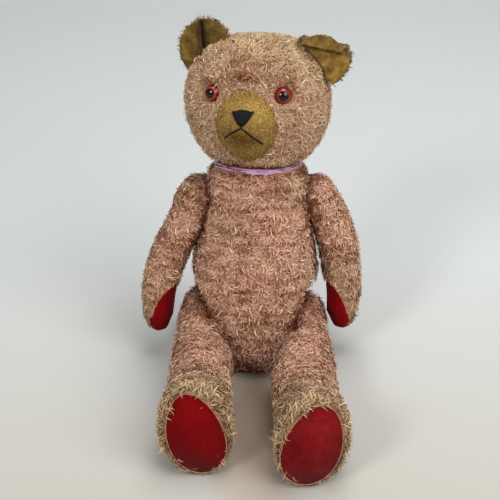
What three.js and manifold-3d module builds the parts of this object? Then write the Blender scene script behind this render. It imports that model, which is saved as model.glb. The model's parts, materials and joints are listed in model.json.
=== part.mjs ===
// A jointed mohair teddy bear that sits upright. Millimetres, +Z up, the bear faces -Y.
// The origin is on the floor under the seat. Left and right are the bear's own: its left side is at +X.

import * as THREE from 'three';
import { mergeVertices } from 'three/addons/utils/BufferGeometryUtils.js';
import Module from 'manifold-3d';

const wasm = await Module();
wasm.setup();

// Driving dimensions.

const degree = Math.PI / 180;
const clothWall = 2;            // cover cloth with its seam allowance
const clearance = 0.3;          // running gap between neighbouring pieces

const torsoFullness = 0.82;     // under 1 the torso's rings are squarer than an ellipse
const recline = 10.5 * degree;  // how far the back leans away from upright
const headTurn = 12 * degree;   // the head looks a little to the bear's right

const neckHeight = 222;         // from the seat to the neck joint, along the back
const torsoShift = -4;          // the filling has settled to one side of the seat

const shoulderDrop = 40;        // from the neck joint down to the shoulder pins
const shoulderOut = 49;         // from the middle of the chest to the arm's flat inner face
const armLength = { left: 159, right: 165 };    // from the shoulder pin to the tip of the paw
const armTopMargin = 6.5;       // from the shoulder disc's rim up to the top of the arm
const armTilt = 10 * degree;    // the shoulders slope, so the arms hang a little outwards
const armPocketMargin = 7;      // room round the arm's top where it lies in the torso's side
const armSweepMargin = 25;      // below the shoulder the torso is flat this much further down

const hipHeight = 40;
const hipOut = 50;              // from the middle of the seat to the leg's flat inner face
const hipForward = { left: 8, right: -6 };
const soleDistance = { left: 216, right: 213 };
const soleLean = 6 * degree;    // the toes lean back from upright
const footTwist = { left: 10.5 * degree, right: 7.5 * degree };
const soleHalfWidth = 28;
const soleHalfHeight = 43.5;
const soleRise = 3;             // from the floor up to the sole's lower edge
const legRise = 1;              // from the floor up to the leg's cover
const insoleThickness = 1.5;
const insoleMargin = 2;         // the board is this much smaller than the sole all round
const legPocketRadius = 54;
const thighClearRadius = 64;    // inside this radius the thigh stays flat against the seat

const pawPadHalfWidth = 16;
const pawPadHalfHeight = 29;
const pawPadRise = 31;          // from the tip of the paw up to the middle of the pad
const pawPadFrom = 2;           // the pad begins this far in front of the arm's middle line
const pawPadTurn = 50 * degree; // from straight ahead towards the body

const muzzleCentre = 47;        // above the neck joint
const muzzleHalfWidth = 31;
const muzzleHalfHeight = 35;
const muzzleReach = 82;         // from the neck pin to the front of the muzzle
const muzzleDepth = 48;
const muzzleInletFrom = 37;     // from the neck pin to the back of the inlet's seam

const eyeRadius = 9;
const eyeOut = 35.5;
const eyeHeight = 78.5;
const eyeForward = 50;
const eyeWireRadius = 0.8;
const eyeLoopRadius = 3;

const earRadius = 29;
const earBackThickness = 3;
const earFrontThickness = 2;
const earCup = 6;               // how far the ear's middle is hollowed
const earForward = 4;
const earSkirt = 10;            // the straight part of the ear below its half disc
const earPlaces = {
  left: { out: 63.5, height: 107, lean: 46 * degree },
  right: { out: 51, height: 118, lean: 31 * degree },
};

const noseHalfWidth = 10.8;
const noseHeight = 14.5;
const noseTop = 67;
const noseThickness = 2.4;
const mouthThread = 1;          // radius of the mouth's thread
const mouthTop = 50;
const mouthHalfWidth = 20;
const mouthDrop = { left: 17, right: 14 };

const ribbonWidth = 8;
const ribbonThickness = 1;
const ribbonHalfWidth = 43.5;     // across the bear, at the middle of the ribbon
const ribbonHalfDepth = 39.5;
const ribbonDrop = 5;             // from the neck joint down to the middle of the ribbon
const ribbonSlope = 42 * degree;

const threadRadius = 0.45;

const discThickness = 3;
const washerThickness = 1.2;
const washerRadius = 9;
const pinRadius = 1.6;
const pinHoleRadius = 1.95;
const pinHeadRadius = 3.4;      // middle line of the pin's eye
const pinCurlRadius = 3;
const pinCurlTurn = 200 * degree;
const pinWireRadius = 1;        // each of the pin's two wires, where they part
const discRadius = { neck: 28, shoulder: 14.5, hip: 22 };

// Heights and radii that follow from these.

const shoulderHeight = neckHeight - shoulderDrop;
const armTop = discRadius.shoulder + armTopMargin;
const armPocketRadius = armTop + armPocketMargin;
const armSweepRadius = armTop + armSweepMargin;
const beyond = 400;             // a length that reaches past every piece

// Finishes.

function finish(color, roughness, metalness = 0) {
  return new THREE.MeshStandardMaterial({ color, roughness, metalness });
}

const mohair = finish(0xcfa490, 0.95);
const shavedMohair = finish(0xb2955a, 0.95);
const velvet = finish(0x86683a, 0.9);
const felt = finish(0x860f18, 0.95);
const woodWool = finish(0xc9ae7c, 1);
const hardboard = finish(0x6a4c2f, 0.8);
const insoleBoard = finish(0x9c8056, 0.9);
const steel = finish(0x8e8d8a, 0.45, 1);
const glass = finish(0xd24818, 0.08);
const blackThread = finish(0x17130f, 0.7);
const satin = finish(0xbe90be, 0.4);
const darkThread = finish(0x3a2420, 0.8);

const bear = new THREE.Group();
const trunk = new THREE.Group();
trunk.rotation.x = -recline;
bear.add(trunk);

// Solids from three.js geometry and back.

function plain(geometry) {
  const bare = geometry.clone();
  bare.deleteAttribute('normal');
  bare.deleteAttribute('uv');
  return mergeVertices(bare, 1e-4);
}

function solid(geometry) {
  const merged = plain(geometry);
  return new wasm.Manifold(new wasm.Mesh({
    numProp: 3,
    vertProperties: new Float32Array(merged.attributes.position.array),
    triVerts: new Uint32Array(merged.index.array),
  }));
}

function shape(body) {
  const cut = body.getMesh();
  const geometry = new THREE.BufferGeometry();
  geometry.setAttribute('position', new THREE.BufferAttribute(new Float32Array(cut.vertProperties), 3));
  geometry.setIndex(new THREE.BufferAttribute(new Uint32Array(cut.triVerts), 1));
  return geometry;
}

function addPiece(group, name, body, material) {
  const geometry = body instanceof THREE.BufferGeometry ? body : shape(body);
  const mesh = new THREE.Mesh(geometry, material);
  mesh.name = name;
  group.add(mesh);
}

// A round bar along Z from one height to another.
function bar(radius, from, to, sides = 24) {
  const geometry = new THREE.CylinderGeometry(radius, radius, to - from, sides);
  geometry.rotateX(Math.PI / 2);
  geometry.translate(0, 0, (from + to) / 2);
  return geometry;
}

// A stuffed form: a ball drawn out along its stations. Each station is a ring's middle and its two
// half sizes, across the bear and across the form. The first and last stations are its two ends, from
// the top down or from the back forwards.
// A standing form has rings that lie level, and a lying form has rings that stand upright.
const standing = [-1, 0];
const lying = [0, 1];

function stuffedForm(stations, across, around) {
  const last = stations.length - 1;
  const ball = plain(new THREE.SphereGeometry(1, around, last));
  const points = ball.attributes.position;
  for (let i = 0; i < points.count; i += 1) {
    const height = THREE.MathUtils.clamp(points.getY(i), -1, 1);
    const station = stations[Math.round(Math.acos(height) / Math.PI * last)];
    const angle = Math.atan2(points.getZ(i), points.getX(i));
    const twist = station.twist ?? 0;
    const fullness = station.fullness ?? 1;
    const wide = station.wide * Math.sign(Math.cos(angle)) * Math.abs(Math.cos(angle)) ** fullness;
    const deep = station.deep * Math.sign(Math.sin(angle)) * Math.abs(Math.sin(angle)) ** fullness;
    const turned = wide * Math.cos(twist) - deep * Math.sin(twist);
    const lifted = wide * Math.sin(twist) + deep * Math.cos(twist);
    const [x, y, z] = station.middle;
    points.setXYZ(i, x + turned, y + lifted * across[0], z + lifted * across[1]);
  }
  return ball;
}

// The same surface moved inwards by a distance.
function shrunk(geometry, distance) {
  const inner = geometry.clone();
  inner.computeVertexNormals();
  const points = inner.attributes.position;
  const normals = inner.attributes.normal;
  for (let i = 0; i < points.count; i += 1) {
    points.setXYZ(
      i,
      points.getX(i) - normals.getX(i) * distance,
      points.getY(i) - normals.getY(i) * distance,
      points.getZ(i) - normals.getZ(i) * distance,
    );
  }
  inner.deleteAttribute('normal');
  return inner;
}

// The frame of a joint: its own +Z runs along the pin towards the limb.
function jointPlace(position, direction) {
  const turn = new THREE.Quaternion().setFromUnitVectors(new THREE.Vector3(0, 0, 1), direction);
  return new THREE.Matrix4().compose(position, turn, new THREE.Vector3(1, 1, 1));
}

function placed(geometry, place) {
  return geometry.clone().applyMatrix4(place);
}

// Distances along a joint's pin, from the plane between the two covers.
const coverFace = clearance / 2;
const discFace = coverFace + clothWall + clearance;
const washerFace = discFace + discThickness + clearance;
const headFace = washerFace + washerThickness + clearance;
const pinReach = headFace + 2 * (pinHeadRadius + pinRadius) + clearance;
const curlReach = headFace + 2 * pinCurlRadius + clearance;

// A round hole that clears a bar of the given radius all round, whatever its number of sides.
function roundRoom(radius, from, to, sides) {
  return bar((radius + clearance) / Math.cos(Math.PI / sides), from, to, sides);
}

// The room that a joint's disc, washer and pin end take in the filling on one side.
function hardwareRoom(radius, place, reach) {
  const disc = roundRoom(radius, -1, washerFace, 12);
  const ends = roundRoom(washerRadius, -1, reach + clearance, 8);
  return solid(placed(disc, place)).add(solid(placed(ends, place)));
}

function pinHole(place) {
  return solid(placed(bar(pinHoleRadius, -2 * clothWall, 2 * clothWall, 8), place));
}

function roundPlate(radius, from, thickness, segments) {
  const outline = new THREE.Shape().absarc(0, 0, radius, 0, 2 * Math.PI);
  outline.holes.push(new THREE.Path().absarc(0, 0, pinHoleRadius, 0, 2 * Math.PI));
  const geometry = new THREE.ExtrudeGeometry(outline, {
    depth: thickness, bevelEnabled: false, curveSegments: segments,
  });
  return geometry.translate(0, 0, from);
}

// A split pin: two half-round wires bent round an eye, with the ends curled over the far washer.
const curlSteps = 6;

function splitPin() {
  const shank = solid(bar(pinRadius, -headFace - pinRadius, headFace + pinRadius, 8));
  const eye = new THREE.TorusGeometry(pinHeadRadius, pinRadius, 5, 8);
  eye.rotateX(Math.PI / 2);
  eye.translate(0, 0, headFace + pinHeadRadius + pinRadius);
  let pin = shank.add(solid(eye));
  for (const side of [-1, 1]) {
    const points = [];
    for (let step = 0; step <= curlSteps; step += 1) {
      const angle = step / curlSteps * pinCurlTurn;
      const out = pinCurlRadius * (1 - Math.cos(angle));
      const down = pinCurlRadius * Math.sin(angle);
      points.push(new THREE.Vector3(side * (clearance + out), 0, -headFace - pinRadius / 2 - down));
    }
    const wire = new THREE.Shape().absarc(0, 0, pinWireRadius, 0, 2 * Math.PI);
    const curl = new THREE.ExtrudeGeometry(wire, {
      steps: 4, curveSegments: 3, bevelEnabled: false, extrudePath: new THREE.CatmullRomCurve3(points),
    });
    pin = pin.add(solid(curl));
  }
  return pin;
}

// Everything that holds a limb or the head: two discs, two washers and the pin.
const discSegments = 7;
const washerSegments = 5;

function addJoint(group, name, kind, place) {
  const disc = (from) => roundPlate(discRadius[kind], from, discThickness, discSegments);
  const washer = (from) => roundPlate(washerRadius, from, washerThickness, washerSegments);
  const parts = [
    ['limb_disc', disc(discFace), hardboard],
    ['body_disc', disc(-discFace - discThickness), hardboard],
    ['limb_washer', washer(washerFace), steel],
    ['body_washer', washer(-washerFace - washerThickness), steel],
    ['split_pin', shape(splitPin()), steel],
  ];
  for (const [piece, geometry, material] of parts) {
    addPiece(group, `${name}_${piece}`, placed(geometry, place), material);
  }
}

// A cover and its filling from one outer form. Cuts are made in the form itself, and again further in
// for the wall and the filling, so the wall is the same where the form is cut.
function stuffed(form, cutAt) {
  const outer = cutAt(solid(form), 0);
  const inner = cutAt(solid(shrunk(form, clothWall)), clothWall);
  const filling = cutAt(solid(shrunk(form, clothWall + clearance)), clothWall + clearance);
  return { outer, wall: outer.subtract(inner), filling };
}

// Torso.

const shoulderPlace = {};
const hipPlace = {};
const uprightTurn = new THREE.Matrix4().makeRotationX(recline);
for (const [name, side] of [['left', 1], ['right', -1]]) {
  shoulderPlace[name] = jointPlace(
    new THREE.Vector3(side * shoulderOut, 0, shoulderHeight),
    new THREE.Vector3(side * Math.cos(armTilt), 0, Math.sin(armTilt)),
  );
  hipPlace[name] = jointPlace(
    new THREE.Vector3(side * hipOut + torsoShift, -hipForward[name], hipHeight),
    new THREE.Vector3(side, 0, 0),
  );
}
const neckPlace = new THREE.Matrix4().makeTranslation(0, 0, neckHeight);
const hipInTrunk = (name) => uprightTurn.clone().multiply(hipPlace[name]);

// A level along the back, from 0 at the hips to 1 at the shoulders.
const backLevel = (share) => hipHeight + share * (shoulderHeight - hipHeight);

const torsoForm = stuffedForm([
  { middle: [0, 0, neckHeight + 4], wide: 0, deep: 0 },
  { middle: [0, 0, neckHeight - 1], wide: discRadius.neck + 9, deep: discRadius.neck + 7 },
  { middle: [0, 0, neckHeight - 14], wide: shoulderOut + 1, deep: 44 },
  { middle: [0, 0, shoulderHeight + 2], wide: shoulderOut + 4.5, deep: 47 },
  { middle: [torsoShift * 0.2, 0, backLevel(0.82)], wide: shoulderOut + 9.5, deep: 50 },
  { middle: [torsoShift * 0.6, 0, backLevel(0.53)], wide: hipOut + 14, deep: 54 },
  { middle: [torsoShift, 0, backLevel(0.28)], wide: hipOut + 18, deep: 57 },
  { middle: [torsoShift, 0, hipHeight + 5], wide: hipOut + 16, deep: 56 },
  { middle: [torsoShift, 0, hipHeight - 26], wide: hipOut + 9, deep: 52 },
  { middle: [torsoShift, 0, -6], wide: hipOut - 4, deep: 43 },
  { middle: [torsoShift, 0, -14], wide: 0, deep: 0 },
].map((station) => ({ ...station, fullness: torsoFullness })), standing, 16);

// All that lies above or below a level.
function above(level) {
  return new THREE.BoxGeometry(beyond, beyond, beyond).translate(0, 0, level + beyond / 2);
}

function below(level) {
  return new THREE.BoxGeometry(beyond, beyond, beyond).translate(0, 0, level - beyond / 2);
}

function cutTorso(body, wall) {
  let result = body.subtract(solid(above(neckHeight - coverFace - wall)));
  result = result.subtract(solid(below(wall).applyMatrix4(uprightTurn)));
  for (const name of ['left', 'right']) {
    const pocket = placed(bar(armPocketRadius + wall, -coverFace - wall, beyond, 18), shoulderPlace[name]);
    const sweep = placed(bar(armSweepRadius + wall, -coverFace - wall, beyond, 20), shoulderPlace[name]);
    const lowSweep = solid(sweep).subtract(solid(above(shoulderHeight - wall)));
    result = result.subtract(solid(pocket)).subtract(lowSweep);
    const legRoom = bar(legPocketRadius + wall, -coverFace - wall, beyond, 18);
    result = result.subtract(solid(placed(legRoom, hipInTrunk(name))));
  }
  return result;
}

const flip = new THREE.Matrix4().makeRotationX(Math.PI);
const bodySide = (place) => place.clone().multiply(flip);
const torso = stuffed(torsoForm, cutTorso);
const torsoJoints = [
  { place: neckPlace, kind: 'neck' },
  { place: shoulderPlace.left, kind: 'shoulder' },
  { place: shoulderPlace.right, kind: 'shoulder' },
  { place: hipInTrunk('left'), kind: 'hip' },
  { place: hipInTrunk('right'), kind: 'hip' },
];
for (const { place, kind } of torsoJoints) {
  torso.wall = torso.wall.subtract(pinHole(place));
  torso.filling = torso.filling.subtract(hardwareRoom(discRadius[kind], bodySide(place), curlReach));
}
addPiece(trunk, 'torso_cover', torso.wall, mohair);
addPiece(trunk, 'torso_stuffing', torso.filling, woodWool);
addJoint(trunk, 'neck', 'neck', neckPlace);

// Head, in a frame on the neck joint that is turned with the face.

const head = new THREE.Group();
head.position.z = neckHeight;
head.rotation.z = -headTurn;
trunk.add(head);

const headForm = stuffedForm([
  { middle: [0, 0, 131], wide: 0, deep: 0 },
  { middle: [0, 0, 127], wide: 33, deep: 30 },
  { middle: [0, 0, 116], wide: 54, deep: 48 },
  { middle: [0, 0, 98], wide: 69, deep: 59.5 },
  { middle: [0, 0, 74], wide: 75, deep: 63 },
  { middle: [0, 0, 48], wide: 73, deep: 62 },
  { middle: [0, 0, 25], wide: 65, deep: 57 },
  { middle: [0, 0, 9], wide: 53, deep: 49 },
  { middle: [0, 0, 0], wide: 38, deep: 37 },
  { middle: [0, 0, -5], wide: 0, deep: 0 },
], standing, 16);

const muzzleForm = new THREE.SphereGeometry(1, 16, 10);
muzzleForm.rotateX(Math.PI / 2);
muzzleForm.scale(muzzleHalfWidth, muzzleDepth, muzzleHalfHeight);
muzzleForm.translate(0, muzzleDepth - muzzleReach, muzzleCentre);

function headBody(distance) {
  const skull = solid(shrunk(headForm, distance));
  const snout = solid(shrunk(plain(muzzleForm), distance));
  return skull.add(snout).subtract(solid(below(coverFace + distance)));
}

const headOuter = headBody(0);
const headSkinGrown = headBody(-clearance);
let headWall = headOuter.subtract(headBody(clothWall));
let headFilling = headBody(clothWall + clearance);
headWall = headWall.subtract(pinHole(new THREE.Matrix4()));
headFilling = headFilling.subtract(hardwareRoom(discRadius.neck, new THREE.Matrix4(), pinReach));

function ball(radius, x, y, z, around = 12, along = 8) {
  return new THREE.SphereGeometry(radius, around, along).translate(x, y, z);
}

// Glass eyes on wire loops, each set half into the face.
for (const [name, side] of [['left', 1], ['right', -1]]) {
  const x = side * eyeOut;
  const bead = solid(ball(eyeRadius, x, -eyeForward, eyeHeight));
  const socket = solid(ball(eyeRadius + clearance, x, -eyeForward, eyeHeight));
  const loopCentre = -eyeForward + eyeRadius + clearance + eyeLoopRadius + eyeWireRadius;
  const loop = new THREE.TorusGeometry(eyeLoopRadius, eyeWireRadius, 5, 10)
    .rotateY(Math.PI / 2)
    .translate(x, loopCentre, eyeHeight);
  const loopRoom = ball(eyeLoopRadius + 2 * eyeWireRadius + clearance, x, loopCentre, eyeHeight, 8, 6);
  headWall = headWall.subtract(socket);
  headFilling = headFilling.subtract(socket).subtract(solid(loopRoom));
  addPiece(head, `${name}_eye`, bead, glass);
  addPiece(head, `${name}_eye_wire_loop`, loop, steel);
}

// The shaved muzzle is let into the front of the head cover.
function muzzleCutter(margin) {
  const prism = bar(1, muzzleInletFrom, beyond, 18);
  prism.scale(muzzleHalfWidth + margin, muzzleHalfHeight + margin, 1);
  prism.rotateX(Math.PI / 2);
  return solid(prism.translate(0, 0, muzzleCentre));
}

addPiece(head, 'muzzle', headWall.intersect(muzzleCutter(0)), shavedMohair);
addPiece(head, 'head_cover', headWall.subtract(muzzleCutter(clearance)), mohair);
addPiece(head, 'head_stuffing', headFilling, woodWool);

// Ears: half discs, hollowed to the front, sewn to the sides of the crown.
function earLayer(place, side, from, thickness) {
  const outline = new THREE.Shape();
  outline.moveTo(earRadius, -earSkirt);
  outline.lineTo(earRadius, 0);
  outline.absarc(0, 0, earRadius, 0, Math.PI);
  outline.lineTo(-earRadius, -earSkirt);
  outline.closePath();
  const layer = plain(new THREE.ExtrudeGeometry(outline, {
    depth: thickness, steps: 1, bevelEnabled: false, curveSegments: 12,
  }));
  const points = layer.attributes.position;
  for (let i = 0; i < points.count; i += 1) {
    const across = points.getX(i) / earRadius;
    const up = points.getY(i) / earRadius;
    points.setZ(i, points.getZ(i) + from + earCup * (across * across + up * up * 0.4));
  }
  layer.rotateX(Math.PI / 2);
  layer.rotateY(side * place.lean);
  layer.translate(side * place.out, -earForward, place.height);
  return solid(layer).subtract(headSkinGrown);
}

for (const [name, side] of [['left', 1], ['right', -1]]) {
  const place = earPlaces[name];
  const frontFrom = earBackThickness + clearance;
  addPiece(head, `${name}_ear_back`, earLayer(place, side, 0, earBackThickness), mohair);
  addPiece(head, `${name}_ear_front`, earLayer(place, side, frontFrom, earFrontThickness), velvet);
}

// Nose and mouth, stitched in black thread on the muzzle.
function muzzleFront(x, z) {
  const share = (x / muzzleHalfWidth) ** 2 + ((z - muzzleCentre) / muzzleHalfHeight) ** 2;
  return muzzleDepth - muzzleReach - muzzleDepth * Math.sqrt(Math.max(0, 1 - share));
}

const noseOutline = new THREE.Shape();
noseOutline.moveTo(-noseHalfWidth, 0);
noseOutline.quadraticCurveTo(0, noseHeight * 0.16, noseHalfWidth, 0);
noseOutline.quadraticCurveTo(noseHalfWidth * 0.6, -noseHeight * 0.8, 0, -noseHeight);
noseOutline.quadraticCurveTo(-noseHalfWidth * 0.6, -noseHeight * 0.8, -noseHalfWidth, 0);
const noseBlock = new THREE.ExtrudeGeometry(noseOutline, {
  depth: muzzleDepth + noseThickness, bevelEnabled: false, curveSegments: 4,
});
noseBlock.rotateX(Math.PI / 2);
noseBlock.translate(0, muzzleDepth - muzzleReach, noseTop);
const nosePad = solid(shrunk(plain(muzzleForm), -noseThickness)).intersect(solid(noseBlock));
addPiece(head, 'nose_stitching', nosePad.subtract(headSkinGrown), blackThread);

function mouthPoint(x, z) {
  return new THREE.Vector3(x, muzzleFront(x, z) - mouthThread - clearance, z);
}

// One side of the mouth, from its top out to its end. Half way out it has come down less than half.
function mouthLine(side, drop) {
  const points = [
    mouthPoint(0, mouthTop),
    mouthPoint(side * mouthHalfWidth / 2, mouthTop - drop * 0.4),
    mouthPoint(side * mouthHalfWidth, mouthTop - drop),
  ];
  const wire = new THREE.Shape().absarc(0, 0, mouthThread, 0, 2 * Math.PI);
  return solid(new THREE.ExtrudeGeometry(wire, {
    steps: 5, curveSegments: 3, bevelEnabled: false, extrudePath: new THREE.CatmullRomCurve3(points),
  }));
}

const mouth = mouthLine(1, mouthDrop.left).add(mouthLine(-1, mouthDrop.right));
addPiece(head, 'mouth_stitching', mouth.subtract(headSkinGrown), blackThread);

// Arms, each in a frame on its shoulder pin: +Z up the arm, and out is away from the body.

const armMiddles = {
  left: [12, 12.5, 14, 23.5, 30, 30, 26.5, 22, 21, 21],
  right: [13, 13, 14.5, 20, 32.5, 39, 40.5, 38, 36, 35],
};

for (const [name, side] of [['left', 1], ['right', -1]]) {
  const arm = new THREE.Group();
  arm.position.set(side * shoulderOut, 0, shoulderHeight);
  arm.rotation.y = -side * armTilt;
  trunk.add(arm);

  const tip = -armLength[name];
  const heights = [armTop, armTop - 5, 0, -28, -57, -88, -117, tip + 24, tip + 7, tip];
  const wides = [0, armTop - 6, armTop + 1, armTop, 19, 18.5, 17.5, 16, 10.5, 0];
  const deeps = [0, armTop - 5, armTop + 3, armTop + 4, 24, 22.5, 21, 19.5, 13, 0];
  const form = stuffedForm(heights.map((height, i) => ({
    middle: [side * armMiddles[name][i], 0, height], wide: wides[i], deep: deeps[i],
  })), standing, 12);

  const place = jointPlace(new THREE.Vector3(0, 0, 0), new THREE.Vector3(side, 0, 0));
  const { wall, filling } = stuffed(form, (body, inset) => {
    const inside = bar(beyond, -beyond, coverFace + inset, 4);
    return body.subtract(solid(placed(inside, place)));
  });
  const padDirection = new THREE.Vector3(-side * Math.sin(pawPadTurn), -Math.cos(pawPadTurn), 0);
  const padPlace = new THREE.Matrix4()
    .lookAt(padDirection, new THREE.Vector3(), new THREE.Vector3(0, 0, 1))
    .setPosition(side * armMiddles[name][7], 0, tip + pawPadRise);
  const padCutter = (margin) => {
    const prism = bar(1, pawPadFrom, beyond, 16);
    prism.scale(pawPadHalfWidth + margin, pawPadHalfHeight + margin, 1);
    return solid(placed(prism, padPlace));
  };
  const cover = wall.subtract(pinHole(place));
  addPiece(arm, `${name}_arm_cover`, cover.subtract(padCutter(clearance)), mohair);
  addPiece(arm, `${name}_paw_pad`, cover.intersect(padCutter(0)), felt);
  const room = hardwareRoom(discRadius.shoulder, place, pinReach);
  addPiece(arm, `${name}_arm_stuffing`, filling.subtract(room), woodWool);
  addJoint(arm, `${name}_shoulder`, 'shoulder', place);
}

// Legs, each in a frame on its hip pin: the foot is forwards and out is away from the body.

const legMiddles = {
  left: [9, 8, 6, 6, 3, 2, 2, 3.5, 4, 4, 4],
  right: [9, 8, 8, 8, 6, 5, 5, 7, 6, 6, 6],
};
const legWides = {
  left: [0, 11, 20, 22, 28, 31, 31, 31.5, 32, 32, 0],
  right: [0, 11, 20, 23, 28, 30, 30, 31, 32, 32, 0],
};
const soleStation = 9;

for (const [name, side] of [['left', 1], ['right', -1]]) {
  const leg = new THREE.Group();
  leg.position.set(side * hipOut + torsoShift, -hipForward[name], hipHeight);
  bear.add(leg);

  const sole = soleDistance[name];
  const reaches = [-37, -32, -12, 16, 48, 82, sole - 96, sole - 62, sole - 30, sole + 4, sole + 16];
  const lifts = [0, 0, 0, -1, -2.5, -4.5, -6, -4, 5, 10, 11];
  const highs = [0, 19, 35, 36.5, 35, 33, 31.5, 34, 43.5, 48.5, 0];
  const twists = [0, 0, 0, 0, 0, 0, 0, 0.3, 0.8, 1, 1];
  const form = stuffedForm(reaches.map((reach, i) => ({
    middle: [side * legMiddles[name][i], -reach, lifts[i]],
    wide: legWides[name][i],
    deep: highs[i],
    twist: -side * footTwist[name] * twists[i],
  })), lying, 14);

  const place = jointPlace(new THREE.Vector3(0, 0, 0), new THREE.Vector3(side, 0, 0));
  const soleEnd = new THREE.Matrix4().makeTranslation(0, -sole, soleRise + soleHalfHeight - hipHeight)
    .multiply(new THREE.Matrix4().makeRotationX(Math.PI / 2 - soleLean));
  const { wall, filling } = stuffed(form, (body, inset) => {
    const inside = bar(thighClearRadius + inset, -beyond, coverFace + inset, 16);
    return body
      .subtract(solid(placed(inside, place)))
      .subtract(solid(placed(above(-inset), soleEnd)))
      .subtract(solid(below(legRise - hipHeight + inset)));
  });

  const soleShape = (margin, from, to) => {
    const prism = bar(1, from, to, 18);
    prism.scale(soleHalfWidth + margin, soleHalfHeight + margin, 1);
    prism.rotateZ(-side * footTwist[name]);
    const middle = new THREE.Matrix4().makeTranslation(side * legMiddles[name][soleStation], 0, 0);
    return solid(placed(prism, middle.multiply(soleEnd)));
  };
  const cover = wall.subtract(pinHole(place));
  const soleFrom = -clothWall - clearance;
  const boardFrom = soleFrom - insoleThickness;
  addPiece(leg, `${name}_leg_cover`, cover.subtract(soleShape(clearance, soleFrom, beyond)), mohair);
  addPiece(leg, `${name}_sole`, cover.intersect(soleShape(0, soleFrom, beyond)), felt);
  addPiece(leg, `${name}_insole`, soleShape(-insoleMargin, boardFrom, soleFrom), insoleBoard);
  const room = hardwareRoom(discRadius.hip, place, pinReach)
    .add(soleShape(clearance - insoleMargin, boardFrom - clearance, beyond));
  addPiece(leg, `${name}_leg_stuffing`, filling.subtract(room), woodWool);
  addJoint(leg, `${name}_hip`, 'hip', place);
}

// Ribbon: a flat band laid round the crease of the neck, on the slope of the shoulders.
const ribbonRoute = new THREE.EllipseCurve(0, 0, ribbonHalfWidth, ribbonHalfDepth, 0, 2 * Math.PI);

function ribbonPoint(turn, across, lift) {
  const point = ribbonRoute.getPoint(turn);
  const outwards = new THREE.Vector2(point.x / ribbonHalfWidth ** 2, point.y / ribbonHalfDepth ** 2);
  outwards.normalize();
  const out = across * Math.sin(ribbonSlope) + lift * Math.cos(ribbonSlope);
  const up = -across * Math.cos(ribbonSlope) + lift * Math.sin(ribbonSlope);
  return [point.x + outwards.x * out, point.y + outwards.y * out, neckHeight - ribbonDrop + up];
}

// The band's section is turned into a plain ring first, and then each of its points goes to its place.
function ribbonBand() {
  const half = ribbonWidth / 2;
  const section = [[-half, 0], [half, 0], [half, ribbonThickness], [-half, ribbonThickness], [-half, 0]];
  const profile = section.map(([across, lift]) => new THREE.Vector2(ribbonHalfWidth + across, lift));
  const ring = plain(new THREE.LatheGeometry(profile, 36));
  const points = ring.attributes.position;
  for (let i = 0; i < points.count; i += 1) {
    const turn = Math.atan2(-points.getZ(i), points.getX(i)) / (2 * Math.PI);
    const across = Math.hypot(points.getX(i), points.getZ(i)) - ribbonHalfWidth;
    points.setXYZ(i, ...ribbonPoint((turn + 1) % 1, across, points.getY(i)));
  }
  return solid(ring);
}

const torsoSkinGrown = cutTorso(solid(shrunk(torsoForm, -clearance)), -clearance);
addPiece(trunk, 'neck_ribbon', ribbonBand().subtract(torsoSkinGrown), satin);

// A loose end of dark thread hangs from the ribbon at the bear's right.
const threadPoints = [
  [-40.9, -16, 218.4], [-44.8, -21.5, 221.2], [-47.6, -28.5, 220.2], [-49.4, -34.5, 215.6],
  [-50.4, -39, 209], [-50.6, -42.5, 201.5], [-50.2, -44.5, 194], [-49.6, -45.5, 187.5],
].map((point) => new THREE.Vector3(...point));
const threadSection = new THREE.Shape().absarc(0, 0, threadRadius, 0, 2 * Math.PI);
addPiece(trunk, 'loose_thread', new THREE.ExtrudeGeometry(threadSection, {
  steps: 20, curveSegments: 4, bevelEnabled: false, extrudePath: new THREE.CatmullRomCurve3(threadPoints),
}), darkThread);

export default bear;
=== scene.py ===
import json
import math

import bmesh
import bpy
import numpy as np
from mathutils import Matrix, Vector, noise
from mathutils.bvhtree import BVHTree


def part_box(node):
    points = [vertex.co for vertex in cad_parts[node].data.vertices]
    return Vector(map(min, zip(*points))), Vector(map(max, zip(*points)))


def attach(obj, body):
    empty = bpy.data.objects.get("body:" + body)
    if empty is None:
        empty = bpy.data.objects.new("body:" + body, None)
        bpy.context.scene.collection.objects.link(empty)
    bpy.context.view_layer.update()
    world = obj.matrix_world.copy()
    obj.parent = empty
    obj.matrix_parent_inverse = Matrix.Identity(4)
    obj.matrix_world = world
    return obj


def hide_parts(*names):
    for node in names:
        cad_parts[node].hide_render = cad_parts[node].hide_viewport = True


# A jointed mohair teddy bear, sitting. Metres, +Z up, the bear faces -Y and its own left is at +X.
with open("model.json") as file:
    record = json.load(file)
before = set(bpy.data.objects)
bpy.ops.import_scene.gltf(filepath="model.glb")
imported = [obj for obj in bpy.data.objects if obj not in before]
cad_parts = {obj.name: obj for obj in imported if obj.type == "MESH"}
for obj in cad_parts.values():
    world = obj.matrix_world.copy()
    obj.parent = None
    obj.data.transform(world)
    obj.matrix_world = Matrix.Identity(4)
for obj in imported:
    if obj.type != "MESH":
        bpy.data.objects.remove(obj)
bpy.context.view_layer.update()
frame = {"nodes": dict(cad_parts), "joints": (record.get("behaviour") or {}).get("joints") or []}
scene = bpy.context.scene
scene.view_settings.view_transform = "Standard"


# Camera, at the height of a person who looks down on a table. Its lens, place and tilt were fitted to
# the bear's outline in the photo.
def put(name, data):
    """A new object in the scene."""
    made = bpy.data.objects.new(name, data)
    scene.collection.objects.link(made)
    return made


camera = bpy.data.cameras.new("camera")
camera.lens = 76.57
camera.sensor_width = 36
camera_object = put("camera", camera)
camera_object.location = (-0.0083, -1.0, 0.68)
camera_object.rotation_euler = (math.radians(61.2), 0, 0)
scene.camera = camera_object


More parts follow.
